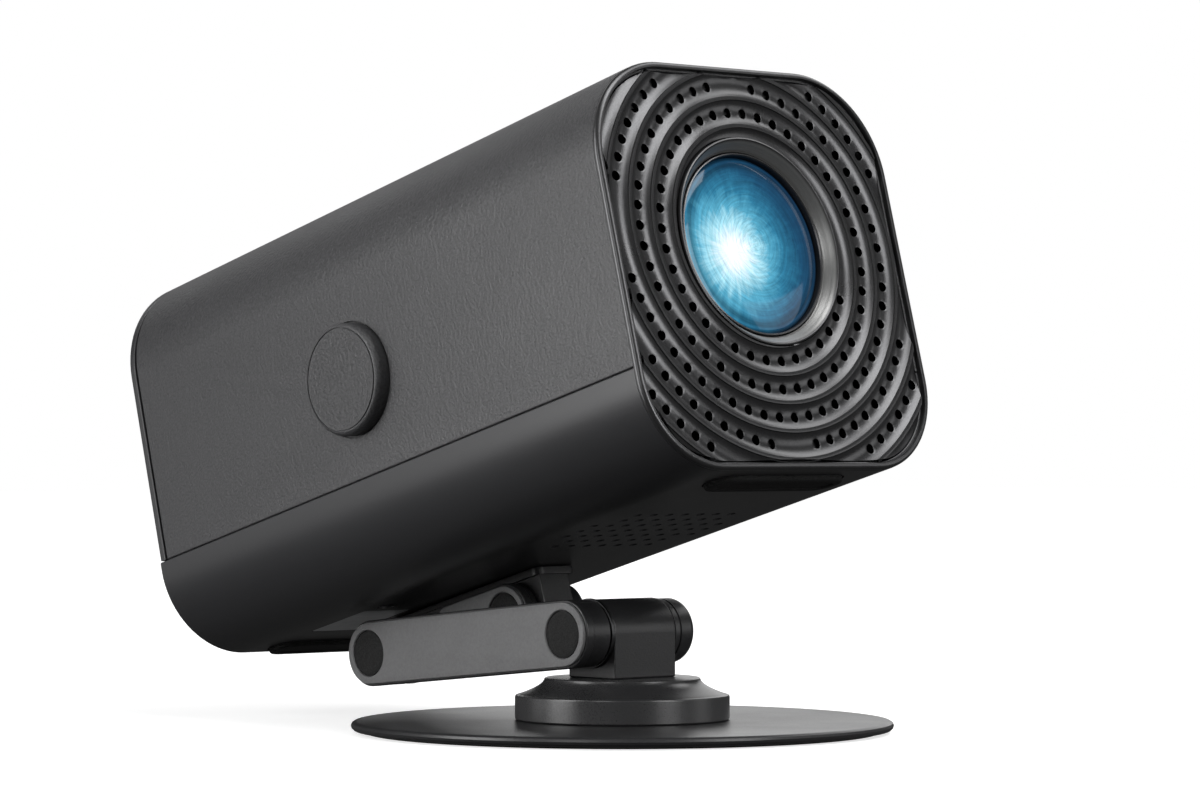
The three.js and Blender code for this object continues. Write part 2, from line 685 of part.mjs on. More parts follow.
// A rack above the pinion: its teeth point down, and a gap between teeth stands over the pinion's axis.
function focusRack() {
  const pitch = (2 * Math.PI * GEAR.pitchRadius) / GEAR.teeth;
  const tip = GEAR.halfTooth - GEAR.addendum * tan;
  const root = GEAR.halfTooth + GEAR.dedendum * tan;
  const rootZ = rackPitchZ + GEAR.dedendum;
  const tipZ = rackPitchZ - GEAR.addendum;
  const reach = Math.floor((RACK.y1 - KNOB.y - 1) / pitch);
  const points = [[RACK.y0, rootZ]];
  for (let n = -reach; n < reach; n++) {
    const y = KNOB.y + (n + 0.5) * pitch;
    points.push([y - root, rootZ], [y - tip, tipZ], [y + tip, tipZ], [y + root, rootZ]);
  }
  points.push([RACK.y1, rootZ], [RACK.y1, rootZ + RACK.height], [RACK.y0, rootZ + RACK.height]);
  const bar = extruded("x", points, RACK.x0, RACK.x1);
  const bracket = box(RACK.x1 - 1, -BARREL.outer - 0.5, RACK.y0, RACK.bracketY, rootZ, rootZ + RACK.height);
  return join(bar, bracket);
}

function focusShaft() {
  const { teeth, pitchRadius, addendum, dedendum, halfTooth } = GEAR;
  const corners = [
    [pitchRadius - dedendum, halfTooth + 0.25],
    [pitchRadius, halfTooth],
    [pitchRadius + addendum, halfTooth - addendum * tan],
  ];
  const points = [];
  for (let n = 0; n < teeth; n++) {
    const angle = Math.PI / 2 + (2 * Math.PI * n) / teeth;
    const [out, side] = [Math.cos(angle), Math.sin(angle)];
    const place = (r, half) => [KNOB.y + r * out - half * side, KNOB.z + r * side + half * out];
    points.push(...corners.map(([r, half]) => place(r, -half)));
    points.push(...corners.toReversed().map(([r, half]) => place(r, half)));
  }
  const pinion = extruded("x", points, RACK.x0 - 0.4, RACK.x1 + 0.4);
  return join(pinion, rod("x", 2.9, -60.2, -40.5, [KNOB.y, KNOB.z], SMALL_ROUND));
}

function focusKnob() {
  const { radius, outerX, innerX, seat, y, z } = KNOB;
  const inner = innerX + seat - 2 * GAP;
  const profile = [
    [0, outerX],
    [radius - 1.6, outerX],
    [radius - 0.4, outerX + 1],
    [radius, outerX + 2],
    [radius, inner],
    [0, inner],
  ];
  const body = turned("x", profile, [y, z], 36);
  return cut(body, rod("x", 3.1, -60.5, inner + 1, [y, z], SMALL_ROUND));
}

add(projector, "lens_shroud", lensShroud(), satinBlack);
add(projector, "lens_barrel", lensBarrel(), satinBlack);
add(projector, "front_lens", lens(FRONT_LENS), opticalGlass);
add(projector, "rear_lens", lens(REAR_LENS), opticalGlass);
add(projector, "focus_rack", focusRack(), whitePlastic);
add(projector, "focus_shaft", focusShaft(), whitePlastic);
add(projector, "focus_knob", focusKnob(), texturedBlack);
add(projector, "focus_bushing", ring("x", 3.1, 5, -56.4, -53, [KNOB.y, KNOB.z], SMALL_ROUND), whitePlastic);

// ---------------------------------------------------------------- light engine, cooling and electronics

const plate = (half, from, to) => box(-half, half, from, to, LENS_Z - half, LENS_Z + half);
const innerHalf = ENGINE.half - ENGINE.wall - GAP;

function engineHousing() {
  return cut(plate(ENGINE.half, ENGINE.start, ENGINE.end), plate(ENGINE.half - ENGINE.wall, 0, CASE.length));
}

function ledBoard() {
  return join(plate(30, 141, 143), plate(13, 138, 141.5));
}

function heatSink() {
  const { half, start, base, end, fins, finWidth } = SINK;
  const pitch = (2 * half - finWidth) / (fins - 1);
  const blades = Array.from({ length: fins }, (_, i) => {
    const x = -half + i * pitch;
    return box(x, x + finWidth, start + base - 0.5, end, LENS_Z - half, LENS_Z + half);
  });
  return join(plate(half, start, start + base), ...blades);
}

function fanFrame() {
  const { half, start, end, bore, hub } = FAN;
  const frame = cut(plate(half, start, end), rod("y", bore, 0, CASE.length, [0, LENS_Z]));
  const spokes = [0, 60, 120].map((angle) => {
    const bar = box(-bore - 1, bore + 1, end - 2.6, end, -1.5, 1.5);
    return bar.rotateY(radians(angle)).translate(0, 0, LENS_Z);
  });
  return join(frame, ...spokes, rod("y", hub, end - 2.6, end, [0, LENS_Z], SMALL_ROUND));
}

function fanRotor() {
  const { start, end, hub, tip, blades } = FAN;
  const [front, back] = [start + 1, end - 3.5];
  const vanes = Array.from({ length: blades }, (_, i) => {
    const vane = new THREE.BoxGeometry(tip - hub + 2, 1.4, 12);
    vane.rotateX(radians(55)).translate((tip + hub - 2) / 2, (front + back) / 2, 0);
    return vane.rotateY((2 * Math.PI * i) / blades).translate(0, 0, LENS_Z);
  });
  return join(rod("y", hub, front, back, [0, LENS_Z]), ...vanes);
}

function mainBoard() {
  const board = box(47.4, 49, 110, 212, -24, 31);
  const chips = [
    [150, 8, 12],
    [180, 20, 7],
    [128, 22, 5],
  ].map(([y, z, half]) => box(45, 47.6, y - half, y + half, z - half, z + half));
  return join(board, ...chips);
}

function powerBoard() {
  const board = box(-42, 42, 96, 204, -40, -38.4);
  return join(
    board,
    box(-30, -6, 108, 130, -54, -39.5),
    box(8, 34, 150, 168, -50, -39.5),
    rod("z", 6, -56, -39.5, [20, 118], 16),
    rod("z", 6, -56, -39.5, [-20, 188], 16),
  );
}

function speaker() {
  const low = FLOOR_Z + CASE.wall + GAP;
  const profile = [
    [0, low + 5],
    [21, low],
    [27.5, low],
    [27.5, low + 2],
    [14, low + 11],
    [14, low + 18],
    [0, low + 18],
  ];
  return turned("z", profile, [SPEAKER.x, SPEAKER.y], 28);
}

function boxPort({ z, wide, tall }) {
  const { x, front, back, wall } = PORTS;
  const [halfX, halfZ] = [wide / 2, tall / 2];
  const [outX, outZ] = [halfX + wall, halfZ + wall];
  const outer = box(x - outX, x + outX, front, back, z - outZ, z + outZ);
  return cut(outer, box(x - halfX, x + halfX, front + 2, back + 1, z - halfZ, z + halfZ));
}

function roundPort({ z, outer, hole, pin = 0 }) {
  const { x, front, back } = PORTS;
  const at = [x, z];
  const shell = cut(rod("y", outer, front, back, at, SMALL_ROUND), rod("y", hole, front + 2, back + 1, at, 16));
  return pin ? join(shell, rod("y", pin, front + 1, back - 2, at, 10)) : shell;
}

function powerButton() {
  const { x, z, radius, flange, start, flangeEnd, end } = BUTTON;
  const profile = [
    [0, start],
    [flange, start],
    [flange, flangeEnd],
    [radius, flangeEnd],
    [radius, end - 0.6],
    [radius - 0.6, end],
    [0, end],
  ];
  return turned("y", profile, [x, z], 28);
}

add(projector, "engine_housing", engineHousing(), softBlack);
add(projector, "field_fresnel_lens", plate(innerHalf, 66, 68), opticalGlass);
add(projector, "lcd_panel", plate(innerHalf, 76, 79), opticalGlass);
add(projector, "led_board", ledBoard(), bareAluminium);
add(projector, "heat_sink", heatSink(), bareAluminium);
add(projector, "fan_frame", fanFrame(), softBlack);
add(projector, "fan_rotor", fanRotor(), softBlack);
add(projector, "main_board", mainBoard(), boardGreen);
add(projector, "power_board", powerBoard(), boardGreen);
add(projector, "speaker", speaker(), softBlack);
add(projector, "hdmi_port", boxPort(PORTS.hdmi), steel);
add(projector, "usb_port", boxPort(PORTS.usb), steel);
add(projector, "audio_jack", roundPort(PORTS.jack), softBlack);
add(projector, "power_inlet", roundPort(PORTS.power), softBlack);
add(projector, "power_button", powerButton(), satinBlack);

export default projectorStand;
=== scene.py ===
"""A home projector on a folding swivel stand, built round the frame of its CAD model.

Shapes are drawn in millimetres, in one of three spaces, and placed in metres in the row frame:
the row frame itself, the projector's own frame (x right, y rearwards from the front, z up from the
middle of the front face) and the lower arm's own frame (y along the arm from the base hinge).
"""

import json
import math

import bmesh
import bpy
import numpy as np
from mathutils import Matrix, Vector
from mathutils.geometry import delaunay_2d_cdt


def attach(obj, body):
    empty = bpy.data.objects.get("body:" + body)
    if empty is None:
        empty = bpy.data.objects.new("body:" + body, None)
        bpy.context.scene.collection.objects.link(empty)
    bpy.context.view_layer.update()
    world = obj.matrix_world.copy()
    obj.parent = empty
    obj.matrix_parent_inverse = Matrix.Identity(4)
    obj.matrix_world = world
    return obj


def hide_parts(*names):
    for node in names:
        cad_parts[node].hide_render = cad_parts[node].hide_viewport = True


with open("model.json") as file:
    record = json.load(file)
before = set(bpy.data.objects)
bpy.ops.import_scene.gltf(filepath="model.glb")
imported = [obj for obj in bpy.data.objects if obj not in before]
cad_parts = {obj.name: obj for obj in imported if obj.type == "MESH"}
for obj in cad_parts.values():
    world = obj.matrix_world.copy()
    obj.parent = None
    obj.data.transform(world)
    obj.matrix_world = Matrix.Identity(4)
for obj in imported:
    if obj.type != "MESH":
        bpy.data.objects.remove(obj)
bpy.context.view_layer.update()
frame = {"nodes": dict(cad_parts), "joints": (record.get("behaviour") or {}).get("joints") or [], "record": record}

# ---------------------------------------------------------------- sizes, in millimetres

MM = 0.001
GAP = 0.3
SEAM_GAP = 0.16

# The casing, in the projector's space; its shells start at SHELL_Y and its bezel at FRONT_Y
WIDTH, HEIGHT, LENGTH = 116.0, 120.0, 222.6
TOP_RADIUS, BOTTOM_RADIUS = 30.6, 27.0
WALL = 2.6
SEAM_Z = -30.3
FLOOR_Z = -HEIGHT / 2
FRONT_Y = -1.8
SHELL_Y = -0.2
LENS_Z = 7.6

# The grille's spiral trough and its holes
SPIRAL_Z = 7.2
SPIRAL_RADIUS = 33.6
SPIRAL_PITCH = 8.33
SPIRAL_START = math.radians(-28.5)
HOLE_PITCH = 6.03
HOLE_RADIUS = 1.5
HOLE_DIMPLE = 0.06
GRILLE_BORE = 31.5
GRILLE_EDGE = 2.2
GRILLE_REACH = 76.0
GRILLE_THICKNESS = 1.7

KNOB_Y, KNOB_Z = 117.5, -0.7
GLASS_RADIUS = 26.4
PIN_BORE = 4.1


# ---------------------------------------------------------------- spaces


def joint(name):
    return next(j for j in frame["joints"] if j["name"] == name)


def space(origin, y_axis):
    """The matrix from a space in millimetres, with x to the right and y along y_axis, to the row frame."""
    x_axis = Vector((1, 0, 0))
    z_axis = x_axis.cross(y_axis)
    turn = Matrix((x_axis, y_axis, z_axis)).transposed().to_4x4()
    return Matrix.Translation(origin) @ turn @ Matrix.Scale(MM, 4)


def farthest(node, direction):
    return max(v.co.dot(direction) for v in frame["nodes"][node].data.vertices)


def projector_space():
    back = -Vector(joint("focus_slide")["axis"])
    up = Vector((1, 0, 0)).cross(back)
    behind = farthest("lower_shell", back) - LENGTH * MM
    above = farthest("upper_shell", up) - HEIGHT / 2 * MM
    return space(back * behind + up * above, back)


def lower_arm_space():
    start = Vector(joint("base_hinge")["pos_m"])
    return space(start, (Vector(joint("elbow_hinge")["pos_m"]) - start).normalized())


ROW = Matrix.Scale(MM, 4)
PROJECTOR = projector_space()
LOWER_ARM = lower_arm_space()
BODY_OF = {node: body for body, nodes in frame["record"]["behaviour"]["bodies"].items() for node in nodes}


def local(space_matrix, point):
    """A row-frame point in metres, carried into a space in millimetres."""
    return space_matrix.inverted() @ Vector(point)


ELBOW = local(PROJECTOR, joint("elbow_hinge")["pos_m"])
TOP_HINGE = local(PROJECTOR, joint("top_hinge")["pos_m"])
ARM_LENGTH = local(LOWER_ARM, joint("elbow_hinge")["pos_m"]).y
BASE_HINGE_Z = joint("base_hinge")["pos_m"][2] / MM


# ---------------------------------------------------------------- outlines


def arc(centre, radius, start, end, steps):
    """Points on an arc, both ends included; the angles are in degrees."""
    angles = np.radians(np.linspace(start, end, steps + 1))
    return [(centre[0] + radius * math.cos(a), centre[1] + radius * math.sin(a)) for a in angles]


def rounded(points, radius, steps=4):
    """A closed outline with its corners rounded, by one radius or by one for each corner."""
    radii = radius if hasattr(radius, "__len__") else [radius] * len(points)
    made = []
    for i, corner in enumerate(points):
        p = Vector(corner)
        to_last = (Vector(points[i - 1]) - p).normalized()
        to_next = (Vector(points[(i + 1) % len(points)]) - p).normalized()
        half = to_last.angle(to_next) / 2
        if not radii[i] or half > math.radians(89):
            made.append(tuple(p))
            continue
        centre = p + (to_last + to_next).normalized() * radii[i] / math.sin(half)
        reach = radii[i] / math.tan(half)
        first, last = p + to_last * reach - centre, p + to_next * reach - centre
        for s in range(steps + 1):
            spoke = first.lerp(last, s / steps).normalized() * radii[i]
            made.append(tuple(centre + spoke))
    return made


def grown(outline, by):
    """A closed outline moved outwards, for one that runs anticlockwise."""
    pts = np.array(outline)
    ahead = np.roll(pts, -1, 0) - pts
    ahead /= np.maximum(np.linalg.norm(ahead, axis=1, keepdims=True), 1e-9)
    normal = np.stack([ahead[:, 1], -ahead[:, 0]], 1)
    last = np.roll(normal, 1, 0)
    share = 1 + np.sum(normal * last, 1, keepdims=True)
    return (pts + (normal + last) / np.maximum(share, 0.3) * by).tolist()


def box_outline(u0, u1, v0, v1, radius=0.0, steps=4):
    corners = [(u0, v0), (u1, v0), (u1, v1), (u0, v1)]
    return rounded(corners, radius, steps) if radius else corners


def stadium(length, radius, at=(0.0, 0.0), steps=20):
    """A slot shape between the points at and at + length."""
    return arc((at[0] + length, at[1]), radius, -90, 90, steps) + arc(at, radius, 90, 270, steps)


def case_outline(inset=0.0, steps=18):
    """The casing's cross-section as [x, z] points, anticlockwise from the right side."""
    top = (WIDTH / 2 - TOP_RADIUS, HEIGHT / 2 - TOP_RADIUS)
    low = (WIDTH / 2 - BOTTOM_RADIUS, HEIGHT / 2 - BOTTOM_RADIUS)
    return (
        arc(top, TOP_RADIUS - inset, 0, 90, steps)
        + arc((-top[0], top[1]), TOP_RADIUS - inset, 90, 180, steps)
        + arc((-low[0], -low[1]), BOTTOM_RADIUS - inset, 180, 270, steps)
        + arc((low[0], -low[1]), BOTTOM_RADIUS - inset, 270, 360, steps)
    )


# ---------------------------------------------------------------- solids: (points, faces) in millimetres


def along(axis, u, v, w):
    """The point w along an axis, at u and v of the other two."""
    return {"x": (w, u, v), "y": (u, w, v), "z": (u, v, w)}[axis]


def skin(rings, loop=False, caps=True):
    """Faces between rings of points. The last ring joins the first if loop, and else both ends are capped."""
    count = len(rings[0])
    points = [p for ring in rings for p in ring]
    faces = []
    for i in range(len(rings) if loop else len(rings) - 1):
        a, b = i * count, (i + 1) % len(rings) * count
        faces += [(a + j, a + (j + 1) % count, b + (j + 1) % count, b + j) for j in range(count)]
    if caps and not loop:
        faces += [tuple(reversed(range(count))), tuple(range(len(points) - count, len(points)))]
    return points, faces


def edge_profile(low, high, round_low, round_high, steps=4):
    """[inset, distance] pairs up the side of a prism with rounded edges."""
    turn = [math.radians(90 * s / steps) for s in range(steps + 1)]
    first = [(round_low * (1 - math.sin(t)), low + round_low * (1 - math.cos(t))) for t in turn]
    last = [(round_high * (1 - math.sin(t)), high - round_high * (1 - math.cos(t))) for t in reversed(turn)]
    return (first if round_low else [(0, low)]) + (last if round_high else [(0, high)])


def prism(axis, outline, low, high, round_low=0.3, round_high=None):
    """An anticlockwise outline pushed along an axis, with rounded edges."""
    round_high = round_low if round_high is None else round_high
    profile = edge_profile(low, high, round_low, round_high)
    rings = [[along(axis, u, v, w) for u, v in grown(outline, -inset)] for inset, w in profile]
    return skin(rings)


def swept(axis, outline_at, profile):
    """A closed profile of [inset, distance] pairs carried round an outline."""
    rings = [[along(axis, u, v, w) for u, v in outline_at(inset)] for inset, w in profile]
    return skin(rings, loop=True)


def turned(axis, profile, at=(0.0, 0.0), sides=96):
    """A profile of [radius, distance] pairs turned about an axis."""
    angles = [2 * math.pi * i / sides for i in range(sides)]
    rings = [
        [along(axis, at[0] + r * math.cos(a), at[1] + r * math.sin(a), w) for a in angles] for r, w in profile
    ]
    on_axis = abs(profile[0][0]) < 1e-6 and abs(profile[-1][0]) < 1e-6
    return skin(rings, loop=not on_axis, caps=False)


def together(*solids):
    points, faces = [], []
    for more_points, more_faces in solids:
        faces += [tuple(i + len(points) for i in face) for face in more_faces]
        points += list(more_points)
    return points, faces


def disc_profile(radius, low, high, round_low=0.3, round_high=0.3):
    """A solid disc's profile, from the axis round its edge and back to the axis."""
    side = [(radius - inset, w) for inset, w in edge_profile(low, high, round_low, round_high)]
    return [(0, low), *side, (0, high)]


def ring_profile(inner, outer, low, high, edge):
    return rounded([(inner, low), (outer, low), (outer, high), (inner, high)], edge, 3)


def drill(axis, at, radius, low, high, sides=32):
    """A plain round bar from low to high along an axis, for cutting a hole."""
    return turned(axis, [(0, low), (radius, low), (radius, high), (0, high)], at, sides)


# ---------------------------------------------------------------- objects


def made_object(name, solid, place):
    mesh = bpy.data.meshes.new(name)
    mesh.from_pydata([place @ Vector(p) for p in solid[0]], [], solid[1])
    bm = bmesh.new()
    bm.from_mesh(mesh)
    bmesh.ops.remove_doubles(bm, verts=bm.verts, dist=2e-7)
    bmesh.ops.recalc_face_normals(bm, faces=bm.faces)
    bm.to_mesh(mesh)
    bm.free()
    thing = bpy.data.objects.new(name, mesh)
    bpy.context.scene.collection.objects.link(thing)
    return thing


def baked(thing):
    """Applies the modifiers to the mesh."""
    depsgraph = bpy.context.evaluated_depsgraph_get()
    mesh = bpy.data.meshes.new_from_object(thing.evaluated_get(depsgraph))
    thing.modifiers.clear()
    thing.data = mesh
    return thing


def boolean(thing, solid, place, how="DIFFERENCE"):
    """Cuts a solid out of an object, or joins it on."""
    tool = made_object("tool", solid, place)
    modifier = thing.modifiers.new("boolean", "BOOLEAN")
    modifier.operation, modifier.solver, modifier.object = how, "EXACT", tool
    modifier.use_self = True
    baked(thing)
    bpy.data.objects.remove(tool)
    return thing


def shown_for(thing, node, slot, paint, sharp):
    """Finishes an object as the shown piece for a CAD node, riding on that node's body."""
    thing.data.shade_smooth()
    thing.data.set_sharp_from_angle(angle=math.radians(sharp))
    thing.data.materials.clear()
    thing.data.materials.append(PAINTS[paint or slot])
    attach(thing, BODY_OF[node])
    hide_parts(node)


def piece(name, solid, place, slot, node, cuts=(), sharp=32, join=(), paint=None):
    """Makes a shown piece: a solid with others joined on and cut out of it.

    Edges steeper than sharp degrees stay crisp. The slot's paint is used, unless another is named.
    """
    thing = made_object(name, solid, place)
    for more in join:
        boolean(thing, more, place, "UNION")
    if cuts:
        boolean(thing, together(*cuts), place)
    shown_for(thing, node, slot, paint, sharp)
    normals = thing.modifiers.new("normals", "WEIGHTED_NORMAL")
    normals.keep_sharp = True


# ---------------------------------------------------------------- materials


class Paint:
    """A procedural material: helpers that add nodes and links to a Principled shader."""

    def __init__(self, name, **values):
        self.material = bpy.data.materials.new(name)
        self.material.use_nodes = True
        self.tree = self.material.node_tree
        self.shader = next(n for n in self.tree.nodes if n.type == "BSDF_PRINCIPLED")
        for key, value in values.items():
            self.shader.inputs[key.replace("_", " ")].default_value = value
        self.place = self.node("ShaderNodeTexCoord").outputs["Object"]

    def node(self, kind, links=None, **settings):
        made = self.tree.nodes.new(kind)
        for key, value in settings.items():
            setattr(made, key, value)
        for key, value in (links or {}).items():
            self.feed(made.inputs[key], value)
        return made

    def feed(self, socket, value):
        if isinstance(value, bpy.types.NodeSocket):
            self.tree.links.new(value, socket)
        else:
            socket.default_value = value

    def math(self, operation, a, b=0.0):
        made = self.node("ShaderNodeMath", operation=operation)
        for socket, value in zip(made.inputs, (a, b)):
            self.feed(socket, value)
        return made.outputs[0]

    def noise(self, scale, detail=2.0, roughness=0.5, place=None):
        place = self.place if place is None else place
        settings = {"Vector": place, "Scale": scale, "Detail": detail, "Roughness": roughness}
        return self.node("ShaderNodeTexNoise", settings).outputs["Fac"]

    def grain(self, scale):
        settings = {"Vector": self.place, "Scale": scale}
        return self.node("ShaderNodeTexVoronoi", settings, feature="SMOOTH_F1").outputs["Distance"]

    def ramp(self, value, *stops):
        """Colours or numbers at places between 0 and 1."""
        made = self.node("ShaderNodeValToRGB", {"Fac": value})
        band = made.color_ramp.elements
        band.remove(band[1])
        for i, (at, colour) in enumerate(stops):
            element = band.new(at) if i else band[0]
            element.position = at
            element.color = (*colour, 1) if hasattr(colour, "__len__") else (colour, colour, colour, 1)
        return made.outputs["Color"]

    def between(self, value, low, high, out_low, out_high):
        """A value's place between low and high, carried over to between out_low and out_high."""
        made = self.node("ShaderNodeMapRange", clamp=True)
        for socket, number in zip(made.inputs, (value, low, high, out_low, out_high)):
            self.feed(socket, number)
        return made.outputs[0]

    def mixed(self, share, a, b, how="MIX"):
        made = self.node("ShaderNodeMix", data_type="RGBA", blend_type=how)
        colours = [s for s in made.inputs if s.type == "RGBA"]
        self.feed(made.inputs[0], share)
        for socket, value in zip(colours, (a, b)):
            self.feed(socket, (*value, 1) if isinstance(value, tuple) and len(value) == 3 else value)
        return next(s for s in made.outputs if s.type == "RGBA")

    def bump(self, *layers):
        """Layers of (height, strength, depth in millimetres)."""
        normal = None
        for height, strength, depth in layers:
            settings = {"Height": height, "Strength": strength, "Distance": depth * MM}
            made = self.node("ShaderNodeBump", settings)
            if normal is not None:
                self.feed(made.inputs["Normal"], normal)
            normal = made.outputs["Normal"]
        self.feed(self.shader.inputs["Normal"], normal)

    def in_projector(self):
        """The place in the projector's own space, in millimetres, as X, Y and Z."""
        moved = self.node(
            "ShaderNodeMapping",
            {
                "Vector": self.place,
                "Location": PROJECTOR.translation,
                "Rotation": PROJECTOR.to_3x3().normalized().to_euler(),
                "Scale": (MM, MM, MM),
            },
            vector_type="TEXTURE",
        )
        return self.node("ShaderNodeSeparateXYZ", {"Vector": moved.outputs[0]}).outputs

    def edges(self):
        """Near 0 on flats and 1 on outer edges."""
        pointiness = self.node("ShaderNodeNewGeometry").outputs["Pointiness"]
        return self.between(pointiness, 0.51, 0.58, 0.0, 1.0)

    def colour(self, value):
        self.feed(self.shader.inputs["Base Color"], value)

    def roughness(self, value):
        self.feed(self.shader.inputs["Roughness"], value)


def moulded(name, dark, light, rough, grain_scale, grain_depth, patch_scale=18.0, edge_lift=0.25, **values):
    """Moulded plastic or powder coat: a fine grain, uneven gloss and a lighter colour on outer edges."""
    paint = Paint(name, **values)
    fine = paint.noise(grain_scale, 3.0, 0.6)
    coarse = paint.grain(grain_scale * 0.7)
    patches = paint.noise(patch_scale, 4.0, 0.6)
    specks = paint.mixed(paint.between(fine, 0.3, 0.7, 0.0, 1.0), dark, light)
    # outer edges are mixed towards a lighter colour
    edge_lightening = paint.math("MULTIPLY", paint.edges(), edge_lift)
    paint.colour(paint.mixed(edge_lightening, specks, tuple(min(1.0, c * 2.2 + 0.02) for c in light)))
    gloss = paint.between(patches, 0.3, 0.7, rough[0], rough[1])
    paint.roughness(paint.math("ADD", gloss, paint.between(fine, 0.3, 0.7, -0.03, 0.03)))
    paint.bump((coarse, 0.5, grain_depth), (fine, 0.6, grain_depth))
    return paint.material


def grille_paint():
    """The front trim's satin finish, with painted shade on the walls of the holes and of the sheet's edge: these
    are painted near black.
    """
    paint = Paint("grille_trim", Metallic=0.8)
    facing = paint.node("ShaderNodeTexCoord").outputs["Normal"]
    across = paint.node(
        "ShaderNodeVectorMath", {0: facing, 1: PROJECTOR.col[1].xyz.normalized()}, operation="DOT_PRODUCT"
    )
    # painted shade: surfaces that face across the sheet, the hole and edge walls, get a near-black colour and more
    # roughness
    wall = paint.between(paint.math("ABSOLUTE", across.outputs["Value"]), 0.35, 0.55, 1.0, 0.0)
    fine = paint.noise(2400.0, 3.0, 0.6)
    patches = paint.noise(60.0, 3.0, 0.5)
    surface = paint.mixed(paint.between(fine, 0.3, 0.7, 0.0, 1.0), (0.058, 0.058, 0.06), (0.08, 0.08, 0.082))
    # the near-black colour here is painted shade on the walls
    paint.colour(paint.mixed(wall, surface, (0.002, 0.002, 0.002)))
    gloss = paint.between(patches, 0.3, 0.7, 0.27, 0.31)
    paint.roughness(paint.math("ADD", gloss, paint.math("MULTIPLY", wall, 0.5)))
    paint.bump((fine, 0.5, 0.015))
    return paint.material


def cone_paint():
    """The lens surround: black at its lip and turned grey metal within, with fine turning marks."""
    paint = Paint("lens_cone", Metallic=0.85)
    place = paint.in_projector()
    z = paint.math("SUBTRACT", place["Z"], LENS_Z)
    squares = paint.math("ADD", paint.math("MULTIPLY", place["X"], place["X"]), paint.math("MULTIPLY", z, z))
    radius = paint.math("SQRT", squares)
    marks_at = paint.node("ShaderNodeCombineXYZ", {"X": radius, "Y": paint.math("MULTIPLY", place["Y"], 2.0)})
    marks = paint.noise(6.0, 4.0, 0.6, place=marks_at.outputs[0])
    fine = paint.noise(2000.0, 3.0, 0.6)
    lip = paint.between(radius, 29.9, 30.3, 0.0, 1.0)
    grey = paint.mixed(paint.between(marks, 0.3, 0.7, 0.0, 1.0), (0.26, 0.26, 0.255), (0.38, 0.38, 0.375))
    paint.colour(paint.mixed(lip, grey, (0.07, 0.07, 0.072)))
    paint.roughness(paint.between(fine, 0.3, 0.7, 0.34, 0.44))
    paint.bump((marks, 0.3, 0.03), (fine, 0.4, 0.01))
    return paint.material


def brushed(name, dark, light, rough):
    """Bare or lightly finished metal: soft mottling and faint scratches."""
    paint = Paint(name, Metallic=1.0)
    mottle = paint.noise(120.0, 6.0, 0.65)
    stretched = paint.node("ShaderNodeMapping", {"Vector": paint.place, "Scale": (1.0, 1.0, 30.0)})
    scratches = paint.noise(160.0, 3.0, 0.7, place=stretched.outputs[0])
    paint.colour(paint.mixed(paint.between(mottle, 0.3, 0.7, 0.0, 1.0), dark, light))
    paint.roughness(paint.between(scratches, 0.3, 0.7, rough[0], rough[1]))
    paint.bump((scratches, 0.25, 0.02))
    return paint.material


def rubber(name, colour):
    """Foam or rubber: open speckled grain and no gloss."""
    paint = Paint(name)
    pores = paint.grain(1600.0)
    fine = paint.noise(1600.0 * 1.7, 2.0)
    depth = paint.between(pores, 0.1, 0.7, 0.0, 1.0)
    paint.colour(paint.mixed(depth, tuple(c * 0.45 for c in colour), colour))
    paint.roughness(paint.between(fine, 0.3, 0.7, 0.75, 0.95))
    paint.bump((pores, 0.8, 0.12), (fine, 0.5, 0.05))
    return paint.material


def board_paint():
    """A circuit board's solder mask with copper tracks under it."""
    paint = Paint("circuit_board_green", Coat_Weight=0.4)
    tracks = paint.node(
        "ShaderNodeTexBrick",
        {
            "Vector": paint.place,
            "Color1": (0.01, 0.07, 0.03, 1),
            "Color2": (0.012, 0.09, 0.035, 1),
            "Mortar": (0.05, 0.14, 0.05, 1),
            "Scale": 260.0,
            "Mortar Size": 0.03,
        },
    )
    paint.colour(tracks.outputs["Color"])
    paint.roughness(paint.between(paint.noise(300.0, 3.0), 0.3, 0.7, 0.25, 0.4))
    paint.bump((tracks.outputs["Fac"], 0.4, 0.05))
    return paint.material


# Where the painted glow's core is, and its colours by distance from the core and its painted shade by distance
# from the middle
GLOW = {
    "core": (-9.0, -3.0),
    "strength": 1.0,
    "colours": [
        (0.0, (1.2, 1.25, 1.3)),
        (0.12, (0.95, 1.1, 1.2)),
        (0.25, (0.42, 0.8, 0.93)),
        (0.39, (0.1, 0.42, 0.6)),
        (0.54, (0.028, 0.2, 0.34)),
        (0.74, (0.009, 0.07, 0.15)),
        (1.0, (0.006, 0.025, 0.07)),
    ],
    "rim": [(0.0, 1.0), (0.82, 1.0), (0.92, 0.5), (0.955, 0.9), (0.98, 0.3), (1.0, 0.15)],
}


